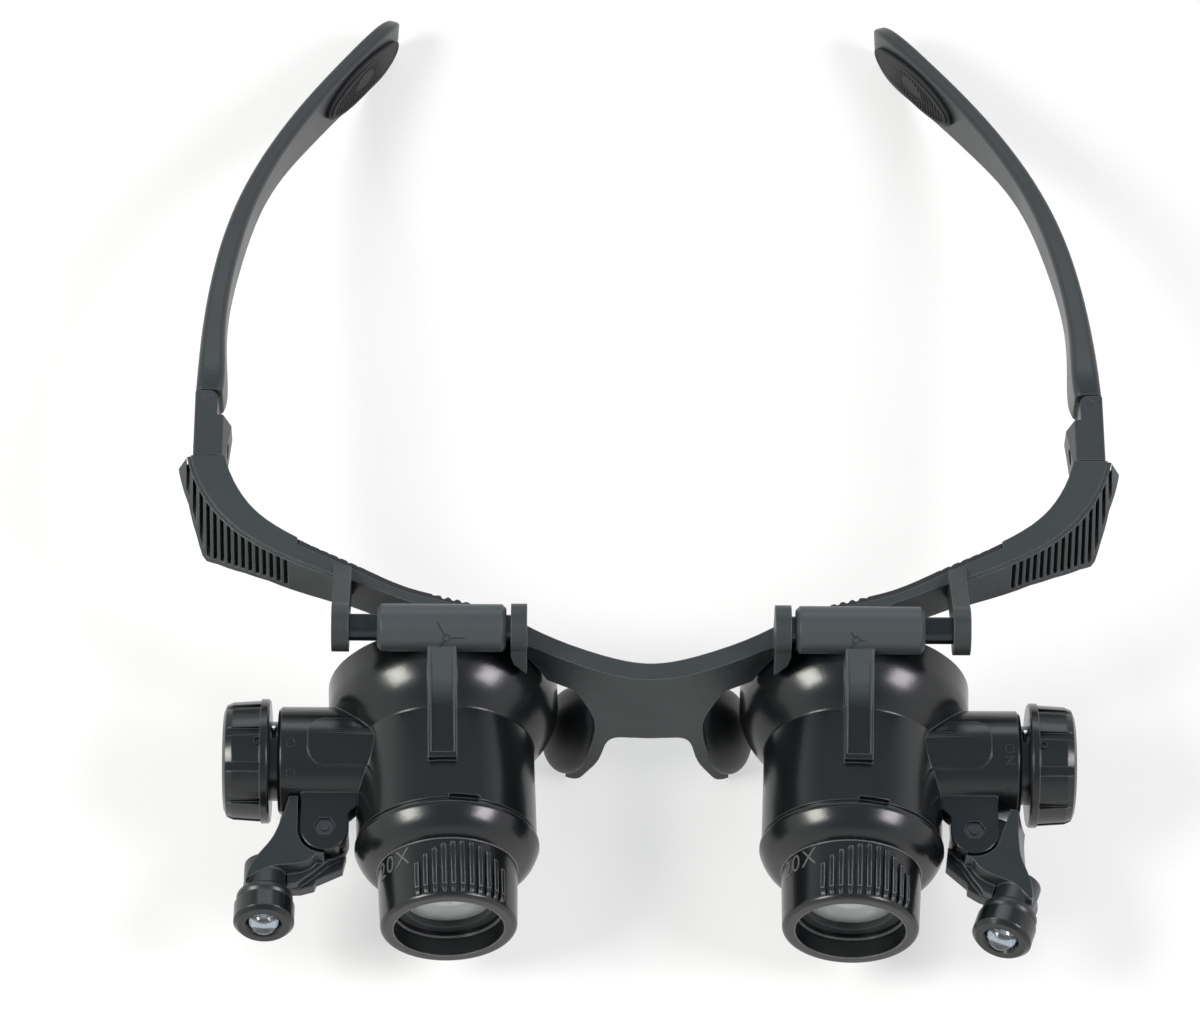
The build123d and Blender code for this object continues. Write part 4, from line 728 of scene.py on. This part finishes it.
def barrel_radius(place):
    """The radius of the barrel at a place ahead of its root."""
    return barrel_root_radius + (barrel_front_radius - barrel_root_radius) * -place / barrel_length


for side in ("left", "right"):
    cover(barrel_plastic, side + "_lens_barrel")
    barrel_base, barrel_axis = joint(side + "_lens_twist")
    reading = (-barrel_axis).cross(upward_z).normalized()
    figure = lettering(side + "_power_figure", "20X", figure_height, figure_relief, figure_paint)
    wrapped(figure, barrel_base, -barrel_axis, reading, barrel_radius, -figure_place, figure_angle)
    fixed(side + "_power_figure", figure, side + "_barrel")
    grips = grown(grip_tree, side + "_grip_ribs", {}, barrel_plastic)
    wrapped(grips, barrel_base, -barrel_axis, reading, barrel_radius, -grip_end, grip_turn)
    fixed(side + "_grip_ribs", grips, side + "_barrel")


# What the barrels hold: a glass lens in front and one behind, with a matt spacer between them and a
# screwed ring of the same black plastic that keeps them in. The lenses are painted pale and let little light
# through: painted light that stands for the bright table seen through them.
def clear_stuff(name, colour, roughness, coat, ior, clearness):
    """Clear glass or resin with a faint haze and unevenness on its polish."""
    gloss_low, gloss_high = 0.4, 1.4
    material, tree = new_material(name)
    where = added(tree, "ShaderNodeTexCoord").outputs["Object"]
    smear = added(tree, "ShaderNodeTexNoise", Vector=where, Scale=260, Detail=3)
    polish = spread(tree, smear, roughness * gloss_low, roughness * gloss_high)
    surface = added(tree, "ShaderNodeBsdfPrincipled", Base_Color=shade(colour), Roughness=polish, IOR=ior,
                    Transmission_Weight=clearness, Coat_Weight=coat)
    added(tree, "ShaderNodeOutputMaterial", Surface=surface)
    return material


inner_black = moulding("inner_black", colour=(0.075, 0.082, 0.082), wear_and_highlight=(0.26, 0.27, 0.27), roughness=0.34,
                       gloss_level=0.4, grain=1800, grain_depth=0.00001, edge=0.00020, edge_share=0.7)
# Pale base colour and little transmission: painted light standing in for the bright table seen through the lenses.
lens_glass = clear_stuff("lens_glass", colour=(0.92, 0.97, 0.945), roughness=0.02, coat=0.3, ior=1.5,
                         clearness=0.16)
for side in ("left", "right"):
    cover(inner_black, side + "_lens_spacer", side + "_retaining_ring")
    cover(lens_glass, side + "_front_lens", side + "_rear_lens")


# The battery caps: a fluted knob that turns on the end of each tube, glossy black like the body.
# A raised round mark shows how far it is turned, and its steel bayonet pin shows in the gap to the tube.
def lathed(name, outline, centre, axis, material, segments=32):
    """A turned piece: outline is a list of radius and place along the axis."""
    first_way = axis.orthogonal().normalized()
    other_way = axis.cross(first_way)
    turns = [index * 2 * pi / segments for index in range(segments)]
    spokes = [first_way * cos(turn) + other_way * sin(turn) for turn in turns]
    shell = bmesh.new()
    rings = [[shell.verts.new(centre + axis * place + spoke * radius) for spoke in spokes]
             for radius, place in outline]
    for low, high in zip(rings, rings[1:]):
        for index in range(segments):
            after = (index + 1) % segments
            shell.faces.new((low[index], low[after], high[after], high[index]))
    shell.faces.new(list(reversed(rings[0])))
    shell.faces.new(rings[-1])
    bmesh.ops.recalc_face_normals(shell, faces=shell.faces)
    mesh = bpy.data.meshes.new(name)
    shell.to_mesh(mesh)
    shell.free()
    mesh.materials.append(material)
    return mesh


cap_radius, cap_mark_place, cap_mark_angle, cap_mark_height = 0.0105, 0.0034, radians(11), 0.00128
pin_outline = [(0.00020, 0.0030), (0.00042, 0.0031), (0.00042, 0.0080), (0.00030, 0.0082)]
pin_angle, pin_place, pin_segments = radians(-14), 0.0007, 16
bright_steel = small_metal("bright_steel", colour=(0.62, 0.62, 0.61), roughness=0.25, brushed=1100)
for side, hand in (("left", -1), ("right", 1)):
    cover(body_plastic, side + "_battery_cap")
    tube_end = joint(side + "_cap_turn")[0]
    mark = lettering(side + "_cap_index", "O", cap_mark_height, mark_relief, raised_mark)
    wrapped(mark, tube_end, rightward, forward, lambda place: cap_radius, hand * cap_mark_place,
            cap_mark_angle)
    fixed(side + "_cap_index", mark, side + "_cap")
    pin_way = upward_z * cos(pin_angle) + forward * sin(pin_angle)
    pin_centre = tube_end + rightward * hand * pin_place
    pin = lathed(side + "_cap_pin", pin_outline, pin_centre, pin_way, bright_steel, pin_segments)
    fixed(side + "_cap_pin", pin, side + "_cap")


# The cells and their contacts: button cells between a bowed leaf spring and a brass plate in the cap.
# The cells lie loose in the tube; the plates are stamped and clipped in.
brass = small_metal("brass", colour=(0.72, 0.55, 0.25), roughness=0.28, brushed=900)
for side in ("left", "right"):
    cover(bright_steel, side + "_battery_cells", side + "_battery_spring")
    cover(brass, side + "_cap_contact", side + "_tube_contact")


# The lamp arms: a swinging black plastic arm on each lug, moulded in one piece with its neck and head.
# It turns on a screw, which a hex nut let into the lug holds.
arm_plastic = moulding("arm_plastic", colour=(0.013, 0.016, 0.018), wear_and_highlight=(0.15, 0.165, 0.17), roughness=0.32,
                       gloss_level=0.5, grain=2000, grain_depth=0.00002, edge=0.00040, edge_share=0.8)
for side in ("left", "right"):
    cover(arm_plastic, side + "_lamp_arm")
    cover(dark_steel, side + "_lamp_screw", side + "_lamp_nut")


# The lamps: a glossy ring screwed on the end of each arm, round a clear domed bulb. The bulb is cast resin
# on two steel leads, and the light comes from a small yellow die in the cup of one of them.
def middle_of(node):
    """The mean place of a CAD piece's corners."""
    corners = frame["nodes"][node].data.vertices
    return sum((corner.co for corner in corners), Vector()) / len(corners)


clear_resin = clear_stuff("clear_resin", colour=(0.95, 0.97, 0.98), roughness=0.02, coat=0.0, ior=1.48,
                          clearness=0.98)
phosphor = moulding("phosphor", colour=(0.75, 0.68, 0.30), wear_and_highlight=(0.80, 0.75, 0.45), roughness=0.5,
                    gloss_level=0.4, grain=3000, grain_depth=0.00001, edge=0.00005, edge_share=0.3)
cup_outline = [(0.00045, -0.0035), (0.00045, -0.0010), (0.00110, 0.0), (0.00085, 0.0), (0.00050, -0.0005)]
die_outline = [(0.00048, -0.0006), (0.00048, -0.0003), (0.00025, -0.00015)]
post_outline = [(0.00028, -0.0035), (0.00028, -0.0002), (0.00015, 0.0)]
cup_set_back, post_aside = 0.0034, 0.0014
for side in ("left", "right"):
    cover(body_plastic, side + "_lamp_ring")
    cover(clear_resin, side + "_bulb")
    cover(bright_steel, side + "_bulb_leads")
    on_axis = middle_of(side + "_bulb_leads")
    bulb_axis = (middle_of(side + "_bulb") - on_axis).normalized()
    tip = max(corner.co.dot(bulb_axis) for corner in frame["nodes"][side + "_bulb"].data.vertices)
    cup_place = on_axis + bulb_axis * (tip - on_axis.dot(bulb_axis) - cup_set_back)
    post_place = cup_place + bulb_axis.cross(upward_z).normalized() * post_aside
    for part, outline, centre, material in (("reflector_cup", cup_outline, cup_place, bright_steel),
                                            ("die", die_outline, cup_place, phosphor),
                                            ("post", post_outline, post_place, bright_steel)):
        mesh = lathed(side + "_bulb_" + part, outline, centre, bulb_axis, material)
        fixed(side + "_bulb_" + part, mesh, side + "_lamp")
